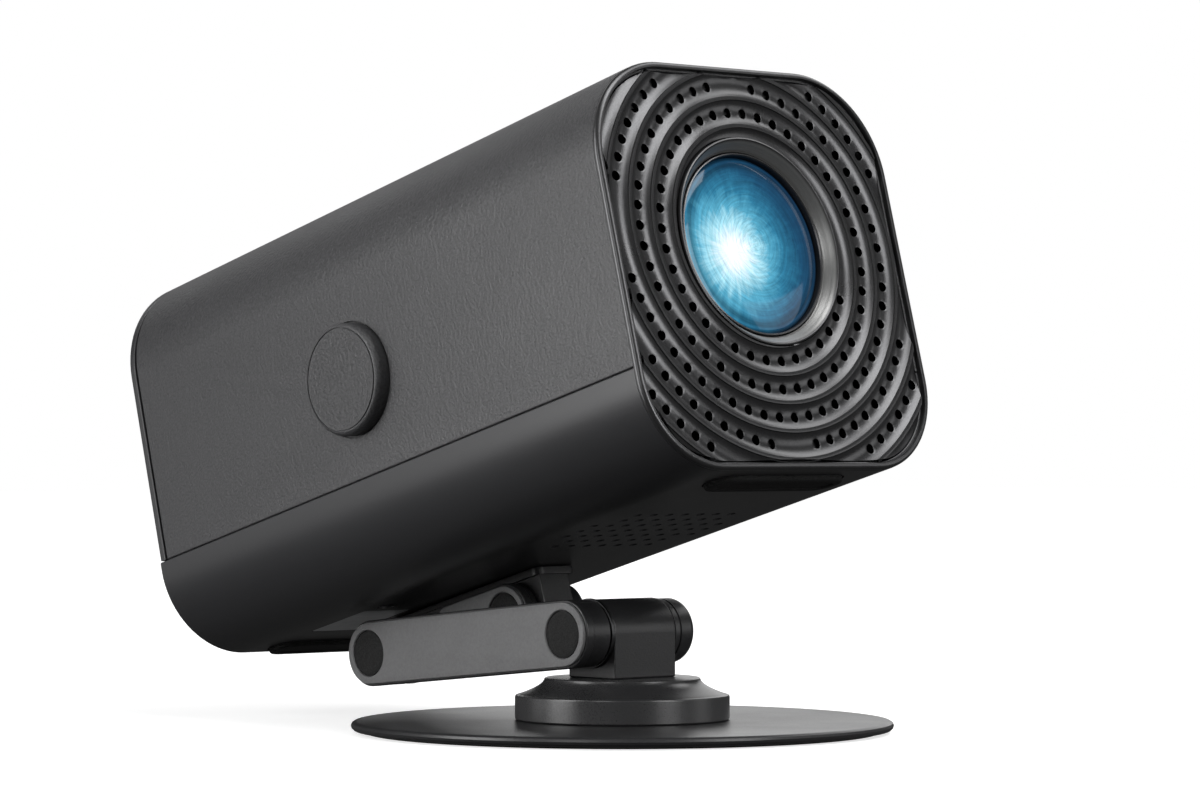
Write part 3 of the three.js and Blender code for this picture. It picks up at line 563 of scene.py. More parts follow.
def lens_glow():
    """The front glass with a painted glow: emission on its surface stands in for the lit optics behind it,
    a white core low to the left, cyan, then deep blue towards the rim, crossed by fine rings and streaks."""
    paint = Paint("lens_glass_lit", Coat_Weight=0.12, Coat_Roughness=0.1, Specular_IOR_Level=0.15)
    place = paint.in_projector()
    x = place["X"]
    z = paint.math("SUBTRACT", place["Z"], LENS_Z)

    def radius_from(cx, cz):
        dx, dz = paint.math("SUBTRACT", x, cx), paint.math("SUBTRACT", z, cz)
        squares = paint.math("ADD", paint.math("MULTIPLY", dx, dx), paint.math("MULTIPLY", dz, dz))
        return paint.math("SQRT", squares), paint.math("ARCTAN2", dz, dx)

    reach, angle = radius_from(*GLOW["core"])
    rim, turn = radius_from(0.0, 0.0)
    spokes = paint.node(
        "ShaderNodeCombineXYZ",
        {
            "X": paint.math("COSINE", angle),
            "Y": paint.math("SINE", angle),
            "Z": paint.math("MULTIPLY", reach, 0.02),
        },
    )
    streaks = paint.noise(7.0, 6.0, 0.65, place=spokes.outputs[0])
    swept_by = paint.node(
        "ShaderNodeCombineXYZ",
        {"X": rim, "Y": paint.math("COSINE", turn), "Z": paint.math("SINE", turn)},
    )
    rings = paint.noise(1.3, 5.0, 0.75, place=swept_by.outputs[0])
    spread = paint.math("ADD", reach, paint.between(streaks, 0.3, 0.7, 2.2, -2.2))
    share = paint.between(spread, 0.0, 36.0, 0.0, 1.0)
    glow = paint.ramp(share, *GLOW["colours"])
    lines = paint.between(rings, 0.35, 0.65, 0.75, 1.2)
    # painted shade towards the glass's rim, with a brighter painted ring just inside it
    shade = paint.ramp(paint.between(rim, 0.0, GLASS_RADIUS, 0.0, 1.0), *GLOW["rim"])
    glow = paint.mixed(1.0, paint.mixed(1.0, glow, lines, "MULTIPLY"), shade, "MULTIPLY")
    paint.shader.inputs["Base Color"].default_value = (0.004, 0.01, 0.016, 1)
    # the painted glow goes in as emission
    paint.feed(paint.shader.inputs["Emission Color"], glow)
    paint.shader.inputs["Emission Strength"].default_value = GLOW["strength"]
    paint.roughness(paint.between(rings, 0.3, 0.7, 0.03, 0.07))
    return paint.material


def grey(level, blue=0.0):
    return (level, level, level + blue)


PAINTS = {
    "textured_shell": moulded(
        "textured_shell", grey(0.02, 0.002), grey(0.06, 0.002), (0.4, 0.5), 1500.0, 0.24
    ),
    "smooth_shell": moulded(
        "smooth_shell", grey(0.024, 0.002), grey(0.03, 0.002), (0.36, 0.4), 2600.0, 0.012
    ),
    "front_trim": moulded(
        "front_trim", grey(0.06, 0.002), grey(0.08, 0.002), (0.3, 0.34), 2400.0, 0.015, Metallic=0.8
    ),
    "front_grille": grille_paint(),
    "lens_cone": cone_paint(),
    "powder_coat": moulded("powder_coat", grey(0.011, 0.001), grey(0.02, 0.001), (0.3, 0.38), 2200.0, 0.03),
    # the hub's coat is the powder coat painted lighter, as painted light for the highlights it catches, and also
    # glossier
    "hub_coat_painted_light": moulded("hub_coat_painted_light", grey(0.02, 0.001), grey(0.034, 0.001), (0.26, 0.33), 2200.0, 0.02),
    "grey_metal": moulded(
        "grey_metal", grey(0.11, 0.002), grey(0.145, 0.002), (0.52, 0.62), 1300.0, 0.04, 90.0, Metallic=0.3
    ),
    "soft_black": rubber("soft_black", grey(0.008)),
    "steel": brushed("steel", grey(0.42, 0.01), grey(0.6, 0.01), (0.25, 0.4)),
    "dark_steel": brushed("dark_steel", grey(0.05, 0.002), grey(0.09, 0.002), (0.3, 0.4)),
    "aluminium": brushed("aluminium", (0.55, 0.56, 0.57), (0.72, 0.73, 0.74), (0.3, 0.45)),
    "lens_glass": lens_glow(),
    "inner_plastic": moulded("inner_plastic", grey(0.55, -0.02), grey(0.62, -0.02), (0.4, 0.5), 900.0, 0.02),
    "gear_plastic": moulded("gear_plastic", grey(0.6, -0.03), grey(0.68, -0.03), (0.35, 0.45), 900.0, 0.02),
    "circuit_board": board_paint(),
    "lcd_glass": brushed("lcd_glass", (0.05, 0.09, 0.1), (0.07, 0.12, 0.13), (0.08, 0.12)),
}


# ---------------------------------------------------------------- casing


def shell_section(upper):
    """The wall of one shell half as a closed [x, z] outline, open towards the seam."""
    side = WIDTH / 2
    steps = 20
    if upper:
        corner = (side - TOP_RADIUS, HEIGHT / 2 - TOP_RADIUS)
        z = SEAM_Z + SEAM_GAP / 2
        radius, spans = TOP_RADIUS, ((0, 90), (90, 180))
        centres = (corner, (-corner[0], corner[1]))
    else:
        corner = (side - BOTTOM_RADIUS, HEIGHT / 2 - BOTTOM_RADIUS)
        z = SEAM_Z - SEAM_GAP / 2
        radius, spans = BOTTOM_RADIUS, ((0, -90), (-90, -180))
        centres = ((corner[0], -corner[1]), (-corner[0], -corner[1]))
    outer = [p for c, (a, b) in zip(centres, spans) for p in arc(c, radius, a, b, steps)]
    inner = [p for c, (a, b) in zip(centres, spans) for p in arc(c, radius - WALL, a, b, steps)]
    section = [(side, z), *outer, (-side, z), (-side + WALL, z), *reversed(inner), (side - WALL, z)]
    corners = [0.45 if abs(p[1] - z) < 1e-6 else 0 for p in section]
    section = rounded(section, corners, 3)
    return section if upper else section[::-1]


def foot_outline(y, grow=0.0):
    half, round_end = 25.5, 6.5
    return stadium(2 * (half - round_end), round_end + grow, (round_end - half, y))


FEET = {"front_foot": 11.5, "rear_foot": 214.4}
SCREWS = {
    "case_screw_1": (-20, 11.5),
    "case_screw_2": (20, 11.5),
    "case_screw_3": (-22, 161),
    "case_screw_4": (22, 161),
}
LABEL = (-26, -8, 167, 194)


def speaker_holes():
    """Small drilled holes with a countersink, in the rows of a round patch."""
    middle, pitch, reach = (0.5, 68), (6.3, 6.1), 26.6
    profile = [(0, -2), (1.5, -2), (1.45, 0), (1.0, 0.45), (1.0, 5), (0, 5)]
    profile = [(radius, FLOOR_Z + rise) for radius, rise in profile]
    holes = []
    for row in range(-3, 4):
        for column in range(-4, 5):
            dx, dy = column * pitch[0], row * pitch[1]
            if math.hypot(dx, dy) < reach:
                holes.append(turned("z", profile, (middle[0] + dx, middle[1] + dy), 18))
    return holes


def lower_shell():
    cuts = speaker_holes()
    for y in FEET.values():
        cuts.append(prism("z", foot_outline(y, GAP + 0.2), FLOOR_Z - 4, FLOOR_Z + 0.6, 0))
    for x, y in SCREWS.values():
        profile = [(0, -3), (3.6, -3), (3.2, 0.4), (3.2, 1.5), (0, 1.5)]
        cuts.append(turned("z", [(r, FLOOR_Z + w) for r, w in profile], (x, y), 32))
    x0, x1, y0, y1 = LABEL
    recess = box_outline(x0 - GAP, x1 + GAP, y0 - GAP, y1 + GAP, 1.2)
    cuts.append(prism("z", recess, FLOOR_Z - 3, FLOOR_Z + 0.6, 0))
    solid = prism("y", shell_section(False), SHELL_Y, LENGTH, 0.4)
    piece("lower_shell_skin", solid, PROJECTOR, "smooth_shell", "lower_shell", cuts)


def upper_shell():
    seat = drill("x", (KNOB_Y, KNOB_Z), 17.4, -70, -56.9, 96)
    solid = prism("y", shell_section(True), SHELL_Y, 218.7, 0.4)
    piece("upper_shell_skin", solid, PROJECTOR, "textured_shell", "upper_shell", [seat])


def bezel():
    """The rim round the front: a rounded outer edge, a narrow flat, and a small chamfer inside."""
    bend = 1.3
    turns = np.radians(range(0, 91, 15))
    profile = [(0.15, 0.1)]
    profile += [(1.35 - bend * math.cos(t), FRONT_Y + bend - bend * math.sin(t)) for t in turns]
    profile += [(1.75, FRONT_Y), (1.95, FRONT_Y + 0.25), (2.0, 8.8), (1.75, 8.8), (1.75, 0.1)]
    solid = swept("y", lambda inset: case_outline(inset, 24), profile)
    piece("front_rim", solid, PROJECTOR, "front_trim", "front_bezel", sharp=40)


def trough_profile():
    """[distance from the hole line, depth], from crest to crest across one turn of the spiral."""
    reach, rise, deepest, steps = 3.5, 1.25, 0.05, 12
    radius = (reach**2 + rise**2) / (2 * rise)
    offsets = [reach * (2 * i / steps - 1) for i in range(steps + 1)]
    scoop = [(t, deepest - radius + math.sqrt(radius**2 - t**2)) for t in offsets]
    return [(-4.165, -1.6), (-3.68, -1.55), *scoop, (3.68, -1.55)]


TROUGH = trough_profile()


def spiral_point(turn, offset=0.0):
    angle = SPIRAL_START - 2 * math.pi * turn
    reach = SPIRAL_RADIUS + SPIRAL_PITCH * turn + offset
    return reach * math.cos(angle), SPIRAL_Z + reach * math.sin(angle)


def trough_depth(x, z):
    """How far behind the front the grille's surface lies at a point."""
    reach = math.hypot(x, z - SPIRAL_Z)
    angle = math.atan2(z - SPIRAL_Z, x)
    part = ((SPIRAL_START - angle) / (2 * math.pi)) % 1.0
    offset = (reach - SPIRAL_RADIUS - SPIRAL_PITCH * part) % SPIRAL_PITCH
    if offset > SPIRAL_PITCH / 2:
        offset -= SPIRAL_PITCH
    places = [p[0] for p in TROUGH] + [-TROUGH[0][0]]
    return float(np.interp(offset, places, [p[1] for p in TROUGH] + [TROUGH[0][1]]))


def grille_holes():
    """The middles of the holes, evenly spaced along the spiral."""
    holes, turn = [], 0.0
    while turn < 4.6:
        x, z = spiral_point(turn)
        inside = -53.1 < x < 52.9 and -53.6 < z < 55.3
        blank = (x < -52.4 and z > 0) or math.hypot(x + 56, z - 46) < 12
        skipped = blank or (abs(x) < 6 and z < -50) or (-6.5 < x < 4 and z > 54.4)
        if inside and not skipped:
            holes.append((x, z))
        turn += HOLE_PITCH / (SPIRAL_RADIUS + SPIRAL_PITCH * turn) / (2 * math.pi)
    return holes


def spiral_lines():
    """The trough's edges and bends as open lines, broken off outside the sheet and inside the lens bore."""
    lines = []
    for offset, _ in TROUGH:
        turn, line = -1.0, []
        reach = SPIRAL_RADIUS + SPIRAL_PITCH * turn + offset
        while reach <= GRILLE_REACH:
            x, z = spiral_point(turn, offset)
            past_side = abs(x) > WIDTH / 2 - GRILLE_EDGE or abs(z) > HEIGHT / 2 - GRILLE_EDGE
            if past_side or math.hypot(x, z - LENS_Z) < GRILLE_BORE - 1.0:
                lines.append(line)
                line = []
            else:
                line.append((x, z))
            turn += 1.5 / max(reach, 20.0) / (2 * math.pi)
            reach = SPIRAL_RADIUS + SPIRAL_PITCH * turn + offset
        lines.append(line)
    return [line for line in lines if len(line) > 1]


def grille_triangles(holes):
    """The sheet seen from the front, as flat [x, z] points and the faces between them."""
    edge = case_outline(2.95, 14)
    loops = [edge, arc((0, LENS_Z), GRILLE_BORE, 0, 360, 120)[:-1]]
    for hole in holes:
        loops.append(arc(hole, HOLE_RADIUS, 0, 360, 20)[:-1])
        loops.append(arc(hole, HOLE_RADIUS + 0.28, 0, 360, 20)[:-1])
    points, edges = [], []
    for closed, lines in ((True, loops), (False, spiral_lines())):
        for line in lines:
            first, count = len(points), len(line)
            points.extend(line)
            edges.extend((first + i, first + (i + 1) % count) for i in range(count if closed else count - 1))
    flat, _, faces, *_ = delaunay_2d_cdt([Vector(p) for p in points], edges, [], 0, 1e-4)
    flat = np.array([tuple(p) for p in flat])

    border = np.array(edge)
    ahead = np.roll(border, -1, 0) - border
    outwards = np.stack([ahead[:, 1], -ahead[:, 0]], 1)
    middles = np.array(holes)
    kept = []
    for face in faces:
        middle = flat[list(face)].mean(0)
        outside = np.max(np.sum((middle - border) * outwards, 1)) > 0
        in_bore = np.hypot(middle[0], middle[1] - LENS_Z) < GRILLE_BORE
        in_hole = np.min(np.hypot(*(middles - middle).T)) < HOLE_RADIUS * 0.985
        if not (outside or in_bore or in_hole):
            kept.append(tuple(face))
    return flat, kept


def grille():
    """One sheet whose spiral troughs wind out from the lens, with a hole every few millimetres."""
    holes = grille_holes()
    flat, faces = grille_triangles(holes)
    used = sorted({i for face in faces for i in face})
    index = {old: new for new, old in enumerate(used)}
    middles = np.array(holes)
    sheet = []
    for x, z in flat[used]:
        at_rim = np.min(np.hypot(middles[:, 0] - x, middles[:, 1] - z)) < HOLE_RADIUS + 0.05
        sheet.append((x, trough_depth(x, z) + (HOLE_DIMPLE if at_rim else 0), z))
    faces = [tuple(index[i] for i in face) for face in faces]
    thing = made_object("spiral_grille", (sheet, faces), PROJECTOR)
    bm = bmesh.new()
    bm.from_mesh(thing.data)
    front = -PROJECTOR.col[1].xyz
    if sum(f.normal.dot(front) * f.calc_area() for f in bm.faces) < 0:
        bmesh.ops.reverse_faces(bm, faces=bm.faces)
    bm.to_mesh(thing.data)
    bm.free()
    thick = thing.modifiers.new("thickness", "SOLIDIFY")
    thick.thickness, thick.offset, thick.use_even_offset = GRILLE_THICKNESS * MM, -1.0, False
    baked(thing)
    shown_for(thing, "front_grille", "front_trim", "front_grille", 26)


def grille_backing():
    """Two blanking plates that close the outermost holes, and a black sheet behind the rest, painted shade that
    keeps the holes dark.
    """
    outline = case_outline(3.6, 14)
    top = [p for p in outline if p[1] > 44.0]
    low = box_outline(-13, 13, -55, -46, 2.0)
    stops = together(prism("y", top, 1.8, 2.5, 0), prism("y", low, 1.8, 2.5, 0))
    piece("grille_stops", stops, PROJECTOR, "front_trim", "front_grille")
    bore = drill("y", (0, LENS_Z), GRILLE_BORE + 0.1, 0, 9, 96)
    # painted shade: a soft black sheet behind the holes stands in for the shade inside the casing
    piece("grille_shade_sheet", prism("y", outline, 2.8, 3.8, 0), PROJECTOR, "soft_black", "front_grille", [bore])


def rear_cover():
    """The end plate, a sleeve inside the shells, and the vents, socket openings and bores cut through."""
    start, skirt = 219.6, 210.0
    side, seam = WIDTH / 2, SEAM_Z + GAP / 2
    whole = case_outline(0, 20)
    outline = [(side, seam), *(p for p in whole if p[1] > seam), (-side, seam)]
    plate = prism("y", outline, start, LENGTH, 0.4, 1.2)
    inner, wall = WALL + GAP, 2
    section = [(inner, skirt), (inner, start + 1.5), (inner + wall, start + 1.5), (inner + wall, skirt)]
    sleeve = swept("y", lambda inset: case_outline(inset, 20), section)
    low = [p for p in case_outline(inner, 20) if p[1] < seam]
    low += [(side - inner, seam + 1), (inner - side, seam + 1)]
    back = prism("y", low, start + 0.2, LENGTH - 0.2, 0.2)

    socket_x = 43.6
    slots = [(0, LENS_Z + (i - 4) * 7.4, 32, 1.7, 1.6) for i in range(9)]
    slots += [(socket_x, 20, 3.2, 8.0, 0.8), (socket_x, -2, 3.4, 7.15, 0.8)]
    cuts = []
    for x, z, half_x, half_z, corner in slots:
        outline = box_outline(x - half_x, x + half_x, z - half_z, z + half_z, corner)
        cuts.append(prism("y", outline, 205, 230, 0))
    for x, z, radius in ((socket_x, -17, 3.9), (socket_x, 37, 5.3), (-socket_x, 20, 5.35)):
        mouth = radius + 0.6
        profile = [(0, 205), (radius, 205), (radius, 222.2), (mouth, 222.8), (mouth, 230), (0, 230)]
        cuts.append(turned("y", profile, (x, z), 48))
    piece("rear_panel", plate, PROJECTOR, "smooth_shell", "rear_cover", cuts, join=[back, sleeve])


def foot(name, y):
    low = FLOOR_Z - 1.5
    outline = foot_outline(y)
    profile = [(6.0, 0.35), (3.2, 0.35), (2.8, 0.0), (0.9, 0.0), (0.45, 0.12), (0.1, 0.5), (0.0, 0.9)]
    profile.append((0.0, 1.8))
    rings = [[(x, y, low + rise) for x, y in grown(outline, -inset)] for inset, rise in profile]
    piece(name + "_pad", skin(rings), PROJECTOR, "soft_black", name, sharp=40)


def screw(name, x, y):
    head = FLOOR_Z + 0.9
    profile = [(0, 0), (2.4, 0), (2.9, 0.3), (2.9, 0.6), (1.5, 0.7), (1.5, 8.6), (0, 8.6)]
    profile = [(radius, head + rise) for radius, rise in profile]
    cross = [
        prism("z", box_outline(x - 1.6, x + 1.6, y - 0.35, y + 0.35), head - 1, head + 0.5, 0),
        prism("z", box_outline(x - 0.35, x + 0.35, y - 1.6, y + 1.6), head - 1, head + 0.45, 0),
    ]
    piece(name + "_head", turned("z", profile, (x, y), 32), PROJECTOR, "steel", name, cross)


def label():
    x0, x1, y0, y1 = LABEL
    solid = prism("z", box_outline(x0, x1, y0, y1, 1.0), FLOOR_Z + 0.02, FLOOR_Z + 0.3, 0.08)
    piece("label_foil", solid, PROJECTOR, "aluminium", "label_plate")


def knob():
    """A plain disc with a fine groove just inside its rounded edge."""
    profile = [(0, -62.35), (14.6, -62.4), (15.0, -62.45), (15.1, -62.1), (15.4, -62.1), (15.5, -62.4)]
    profile += [(15.9, -62.3), (16.4, -61.8), (16.7, -61.0), (16.75, -60.3)]
    profile += [(16.75, -57.4), (16.4, -57.2), (0, -57.2)]
    dial = turned("x", profile, (KNOB_Y, KNOB_Z), 160)
    piece("focus_dial", dial, PROJECTOR, "textured_shell", "focus_knob")


# ---------------------------------------------------------------- lens


def shroud():
    profile = [
        (31.1, -1.1),
        (30.95, -1.5),
        (30.6, -1.65),
        (30.25, -1.5),
        (29.2, -0.2),
        (29.0, 0.2),
        (28.2, 1.0),
        (28.0, 1.5),
        (27.7, 1.8),
        (27.6, 2.4),
        (27.6, 30),
        (29.9, 30),
        (29.9, 6),
        (31.1, 6),
    ]
    solid = turned("y", profile, (0, LENS_Z), 160)
    piece("lens_surround", solid, PROJECTOR, "front_trim", "lens_shroud", sharp=28, paint="lens_cone")


def barrel():
    profile = [
        (27.3, 1.9),
        (27.15, 1.4),
        (26.85, 1.3),
        (26.6, 1.7),
        (26.5, 8.6),
        (22, 8.6),
        (22, 38),
        (24, 38),
        (24, 52),
        (27.3, 52),
    ]
    tube = turned("y", profile, (0, LENS_Z), 160)
    piece("lens_tube", tube, PROJECTOR, "front_trim", "lens_barrel", sharp=28)


def front_glass():
    start, bulge = 0.9, 2.7
    turns = np.radians(range(0, 91, 6))
    face = [(GLASS_RADIUS * math.sin(t), start + bulge * (1 - math.cos(t))) for t in turns]
    profile = [*face, (GLASS_RADIUS, 8.3), (0, 8.3)]
    glass = turned("y", profile, (0, LENS_Z), 128)
    piece("front_glass", glass, PROJECTOR, "lens_glass", "front_lens", sharp=40)


# ---------------------------------------------------------------- stand


def cap_profile(start, end, radius):
    """A hinge's end cap: a narrow collar, a groove, then a dome."""
    bend = 3.2
    collar = [(-0.2, 0.0), (0.0, 0.2), (0.0, 1.9), (-0.45, 2.1), (-0.45, 2.5), (-0.05, 2.7)]
    turns = np.radians(range(0, 81, 10))
    profile = [(0, start)]
    profile += [(radius + out, start + up) for out, up in collar]
    profile += [(radius - bend + bend * math.cos(t), end - bend + bend * math.sin(t)) for t in turns]
    return [*profile, (2.0, end - 0.05), (0, end)]


def base():
    profile = [(0, 0.6), (78.2, 0.6), (79.2, 0.8), (79.8, 1.4), (80.0, 2.1), (79.7, 2.8), (79.0, 3.25)]
    profile += [(78.0, 3.4), (40, 3.42), (14, 3.45), (12.4, 3.6), (12, 4.0), (12, 6.6), (0, 6.6)]
    bolt_hole = turned("z", [(0, -1), (7.5, -1), (7.5, 3.4), (3.8, 3.4), (3.8, 10), (0, 10)], sides=40)
    plate = turned("z", profile, sides=200)
    piece("stand_base", plate, ROW, "powder_coat", "base_plate", [bolt_hole], sharp=25)
    pad = turned("z", disc_profile(76, 0.0, 0.6, 0.15, 0.0))
    piece("stand_underpad", pad, ROW, "soft_black", "base_pad")


def hub():
    """A straight band, then a concave shoulder up to the flat top."""
    band, shoulder, rise = 30.1, 7.1, 4.5
    profile = [(12.3, 3.6), (31.3, 3.6), (31.7, 4.0), (31.7, 10.3), (31.45, 10.8), (30.9, 11.0)]
    profile.append((30.3, 11.05))
    profile += [(band - shoulder * (1 - (1 - t) ** 1.8), 11.2 + rise * t) for t in np.linspace(0, 1, 9)]
    profile += [(22.6, 15.95), (22.0, 16.0), (3.8, 16.0), (3.8, 6.9), (12.3, 6.9)]
    hub = turned("z", profile, sides=160)
    # the hub takes the lighter coat: painted light for its highlights
    piece("swivel_collar", hub, ROW, "powder_coat", "swivel_hub", sharp=28, paint="hub_coat_painted_light")


def base_knuckle():
    at = (0, BASE_HINGE_Z)
    half, foot_z = 10, 16.0
    outline = arc(at, half, 0, 180, 32) + [(-half, foot_z), (half, foot_z)]
    corners = [0] * (len(outline) - 2) + [0.6, 0.6]
    solid = prism("x", rounded(outline, corners), -12.3, 12.3, 0.5)
    cuts = [drill("x", at, PIN_BORE, -20, 20), drill("z", (0, 0), 3.6, 10, 21)]
    piece("base_block", solid, ROW, "powder_coat", "base_knuckle", cuts)
    washer = turned("x", ring_profile(4.2, 10.3, -13.6, -12.5, 0.15), at)
    piece("base_shim", washer, ROW, "steel", "base_washer", paint="dark_steel")
    cap = turned("x", cap_profile(12.5, 21.7, 9.7), at)
    piece("base_cap", cap, ROW, "powder_coat", "base_end_cap", [drill("x", at, PIN_BORE, 11, 16.5)], sharp=28)


def insert_hole(x, at):
    """The opening in an arm's face for a round insert, with a small lip at the outer face."""
    profile = [(0, -30), (7.4, -30), (7.4, x), (7.1, x + 0.3), (7.1, 0), (0, 0)]
    return turned("x", profile, at, 64)


def insert_disc(name, x, at, place):
    profile = [(0, x + 0.1), (5.6, x + 0.1), (6.3, x + 0.18), (6.8, x + 0.4), (6.85, x + 0.85), (0, x + 0.85)]
    piece(name + "_foam", turned("x", profile, at, 64), place, "soft_black", name, sharp=50)


def lower_arm():
    outer, face, inner = -24.2, -23.2, -20.2
    front, rear = (0, 0), (ARM_LENGTH, 0)
    plate = prism("x", stadium(ARM_LENGTH, 10.1, steps=32), face, inner, 0.5)
    boss = turned("x", [(0, inner - 1), (9.9, inner - 1), (9.9, -14.0), (9.7, -13.8), (0, -13.8)], front, 90)
    bores = [drill("x", at, PIN_BORE + 0.1, -22.6, 0) for at in (front, rear)]
    piece("lower_arm_body", plate, LOWER_ARM, "powder_coat", "lower_arm", bores, join=[boss])
    cover = prism("x", stadium(ARM_LENGTH, 9.4, steps=32), outer, face - 0.1, 0.35, 0.1)
    holes = [insert_hole(outer, at) for at in (front, rear)]
    piece("lower_arm_face", cover, LOWER_ARM, "grey_metal", "lower_arm_cover", holes)
    insert_disc("lower_arm_front_insert", outer, front, LOWER_ARM)
    insert_disc("lower_arm_rear_insert", outer, rear, LOWER_ARM)
    spacer = turned("x", ring_profile(4.2, 9.9, inner + 0.1, -10.6, 0.3), rear)
    piece("elbow_barrel", spacer, LOWER_ARM, "powder_coat", "elbow_spacer")


def upper_arm():
    outer, face, inner = -10.2, -9.2, -6.2
    top, elbow = (TOP_HINGE.y, TOP_HINGE.z), (ELBOW.y, ELBOW.z)
    plate = prism("x", stadium(elbow[0] - top[0], 9.7, top, 32), face, inner, 0.5)
    rib = prism("x", box_outline(152.4, elbow[0], top[1] - 7.9, top[1] + 7.9, 0.4), outer, face + 1, 0.3, 0)
    end = turned("x", disc_profile(7.9, outer, face + 1, 0.3, 0.0), (elbow[0], top[1]), 64)
    bores = [drill("x", top, PIN_BORE + 0.1, -8.6, 0), drill("x", elbow, PIN_BORE + 0.1, -12, 0)]
    piece("upper_arm_body", plate, PROJECTOR, "powder_coat", "upper_arm", bores, join=[rib, end])
    low, high, square_end = top[1] - 9, top[1] + 9, 152
    corners = [(square_end, low), (square_end, high), (top[0], high), (top[0], low)]
    outline = arc(top, 9.0, 90, 270, 32) + rounded(corners, [3, 3, 0, 0], 6)[:-2]
    cover = prism("x", outline, outer, face - 0.1, 0.35, 0.1)
    piece("upper_arm_face", cover, PROJECTOR, "grey_metal", "upper_arm_cover", [insert_hole(outer, top)])
    insert_disc("upper_arm_insert", outer, top, PROJECTOR)
    cap = turned("x", cap_profile(inner + GAP, 0.1, 7.4), elbow)
    bore = drill("x", elbow, PIN_BORE, inner - 1, inner + 4.2)
    piece("elbow_end", cap, PROJECTOR, "powder_coat", "elbow_cap", [bore], sharp=28)


def bracket():
    """The plate under the case with the top hinge's knuckle below it, and the washer and cap beside."""
    top = FLOOR_Z - GAP
    hinge = (TOP_HINGE.y, TOP_HINGE.z)
    x0, x1 = -4.0, 7.5
    plate = prism("z", box_outline(-5, 11, 110, 180, 3, 8), top - 2.5, top, 0.35)
    outline = arc(hinge, 9.9, -90, 45, 24) + [(134, top - 1), (110.5, top - 1)]
    outline += arc((114, hinge[1] - 5.9), 4, 180, 270, 8)
    knuckle = prism("x", outline, x0, x1, 0.5)
    cuts = [drill("x", hinge, PIN_BORE, -20, 20)]
    for y in (146, 172):
        profile = [(0, -10), (4.2, -10), (4.2, -1.1), (2.2, -1.1), (2.2, 1), (0, 1)]
        cuts.append(turned("z", [(radius, top + rise) for radius, rise in profile], (3, y), 32))
    piece("bracket", plate, PROJECTOR, "powder_coat", "mount_bracket", cuts, join=[knuckle])
    washer = turned("x", ring_profile(4.2, 9.45, -5.9, x0 - 0.2, 0.2), hinge)
    piece("top_shim", washer, PROJECTOR, "powder_coat", "top_washer")
    cap = turned("x", cap_profile(x1 + 0.2, 16.3, 9.45), hinge)
    bore = drill("x", hinge, PIN_BORE, x1 - 1, x1 + 4.2)
    piece("top_cap", cap, PROJECTOR, "powder_coat", "top_end_cap", [bore], sharp=28)


def power_button():
    profile = [(0, 216), (6.4, 216), (6.4, 218.6), (5, 218.6), (5, 223.2), (4.85, 223.6), (4.5, 223.75)]
    profile.append((0, 223.4))
    at = (-43.6, 20)
    piece("power_key", turned("y", profile, at, 64), PROJECTOR, "front_trim", "power_button")


upper_shell()
lower_shell()
bezel()
grille()
grille_backing()
rear_cover()
for node, y in FEET.items():
    foot(node, y)
for node, at in SCREWS.items():
    screw(node, *at)
label()
knob()
shroud()
barrel()
front_glass()
base()
hub()
base_knuckle()
lower_arm()
upper_arm()
bracket()
power_button()

# The CAD nodes that stay take the finish of their own slot
SLOT_OF = {part["node"]: part["material_slot"] for part in frame["record"]["subparts"]}
for name, node in frame["nodes"].items():
    if not node.hide_render:
        node.data.materials.clear()
        node.data.materials.append(PAINTS[SLOT_OF[name]])


# ---------------------------------------------------------------- camera, stage and light


# Low at the front left, a little over a metre from the object, looking almost level
CAMERA_PLACE = (-0.8662, -0.9235, 0.0833)
CAMERA_VIEW = (0.6803, 0.7329, 0.0114)


def aimed(direction):
    return Vector(direction).to_track_quat("-Z", "Y")


camera = bpy.data.objects.new("camera", bpy.data.cameras.new("camera"))
bpy.context.scene.collection.objects.link(camera)
camera.data.sensor_width, camera.data.lens = 36.0, 128.63
camera.location = CAMERA_PLACE
camera.rotation_mode = "QUATERNION"
camera.rotation_quaternion = aimed(CAMERA_VIEW)
camera.data.dof.use_dof = False
bpy.context.scene.camera = camera


def softbox(name, toward, distance, size, power, target=(0, 0.04, 0.12)):
    """An area light that stands in the given direction from the object and faces it."""
    light = bpy.data.lights.new(name, "AREA")
    light.shape, light.size, light.size_y, light.energy = "RECTANGLE", size[0], size[1], power
    lamp = bpy.data.objects.new(name, light)
    bpy.context.scene.collection.objects.link(lamp)
    way = Vector(toward).normalized()
    lamp.location = Vector(target) + way * distance
    lamp.rotation_mode = "QUATERNION"
    lamp.rotation_quaternion = aimed(-way)
    lamp.visible_camera = False


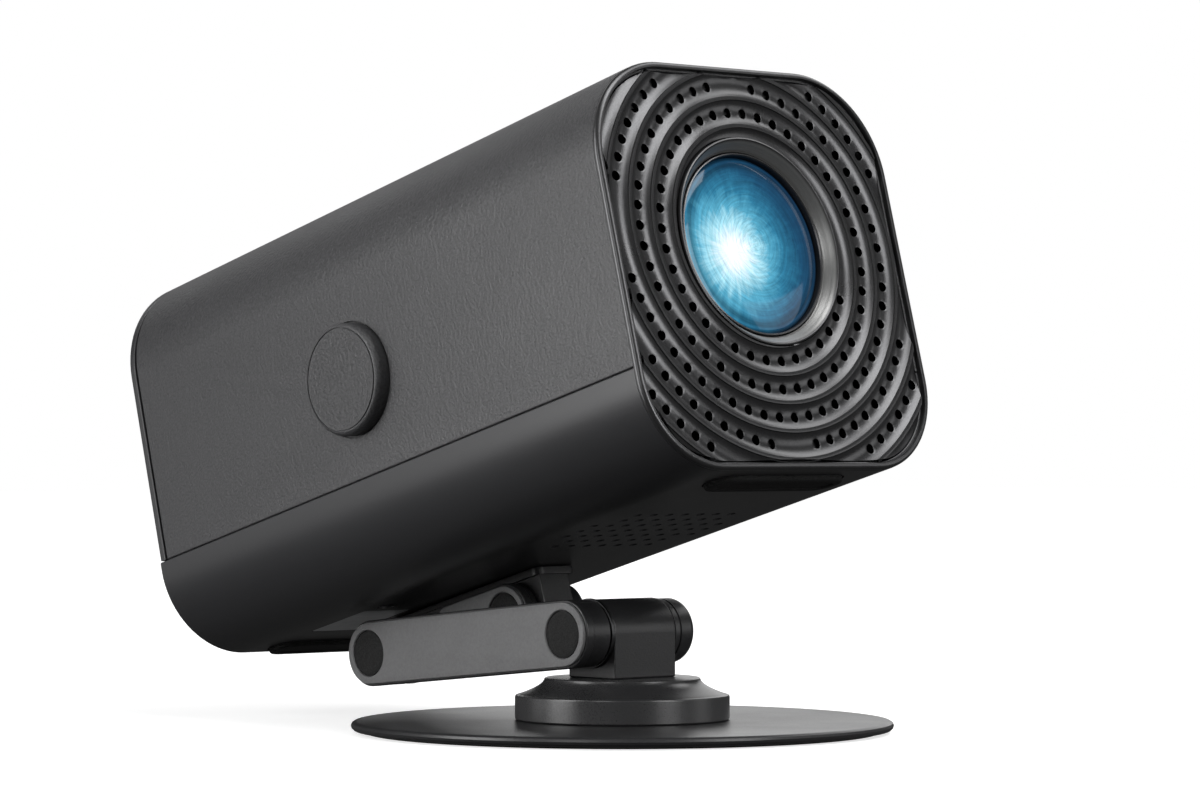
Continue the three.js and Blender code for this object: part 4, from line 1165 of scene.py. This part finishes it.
def pale_floor():
    """A white floor just under the base, slightly darker round the object, as its own soft shadow."""
    floor_mesh = bpy.data.meshes.new("floor")
    reach = 6.0
    low = -0.2 * MM
    corners = [(-reach, -reach, low), (reach, -reach, low), (reach, reach, low), (-reach, reach, low)]
    floor_mesh.from_pydata(corners, [], [(0, 1, 2, 3)])
    floor = bpy.data.objects.new("floor", floor_mesh)
    bpy.context.scene.collection.objects.link(floor)
    paint = Paint("floor_white", Roughness=0.9)
    paint.shader.inputs["Base Color"].default_value = (0.5, 0.5, 0.5, 1)
    paint.shader.inputs["Emission Color"].default_value = (1, 1, 1, 1)
    away = paint.node("ShaderNodeVectorMath", {0: paint.place}, operation="LENGTH").outputs["Value"]
    paint.feed(paint.shader.inputs["Emission Strength"], paint.between(away, 0.1, 0.9, 0.7, 1.0))
    floor_mesh.materials.append(paint.material)
    floor.visible_glossy = False
    floor.visible_diffuse = False


def white_room():
    """White behind the object, with only a little light of its own."""
    world = bpy.data.worlds.new("studio")
    bpy.context.scene.world = world
    world.use_nodes = True
    tree = world.node_tree
    tree.nodes.clear()
    out = tree.nodes.new("ShaderNodeOutputWorld")
    mix = tree.nodes.new("ShaderNodeMixShader")
    seen, room = (tree.nodes.new("ShaderNodeBackground") for _ in range(2))
    for background, strength in ((seen, 1.0), (room, 0.06)):
        background.inputs["Color"].default_value = (1, 1, 1, 1)
        background.inputs["Strength"].default_value = strength
    path = tree.nodes.new("ShaderNodeLightPath")
    tree.links.new(path.outputs["Is Camera Ray"], mix.inputs["Fac"])
    tree.links.new(room.outputs[0], mix.inputs[1])
    tree.links.new(seen.outputs[0], mix.inputs[2])
    tree.links.new(mix.outputs[0], out.inputs["Surface"])


pale_floor()
white_room()
softbox("left_back_far", (-0.75, 0.66, 0.0), 1.7, (1.3, 0.95), 3.5)
softbox("left_side_near", (-0.845, 0.535, 0.12), 0.42, (0.22, 0.4), 1.5, target=(-0.058, -0.09, 0.15))
softbox("lens_left", (-0.94, -0.3, 0.3), 0.5, (0.14, 0.24), 0.4, target=(0.0, -0.07, 0.14))
softbox("key_front", (0.12, -0.93, 0.27), 1.6, (0.6, 1.0), 11)
softbox("key_top", (0.2, -0.53, 0.82), 1.6, (0.8, 0.8), 14)
softbox("key_right", (0.68, -0.1, 0.72), 1.6, (0.8, 0.8), 7)
softbox("overhead", (0.0, -0.22, 1.0), 1.5, (0.6, 0.5), 6)
softbox("right_front_fill", (0.75, -0.66, 0.1), 2.0, (0.7, 0.7), 2.5)
softbox("right_back_fill", (0.8, 0.6, 0.3), 2.0, (1.2, 1.0), 5)
softbox("back_fill", (0.2, 0.9, 0.5), 2.0, (1.0, 0.6), 1.5)

bpy.context.scene.view_settings.view_transform = "Standard"
bpy.context.scene.view_settings.look = "None"
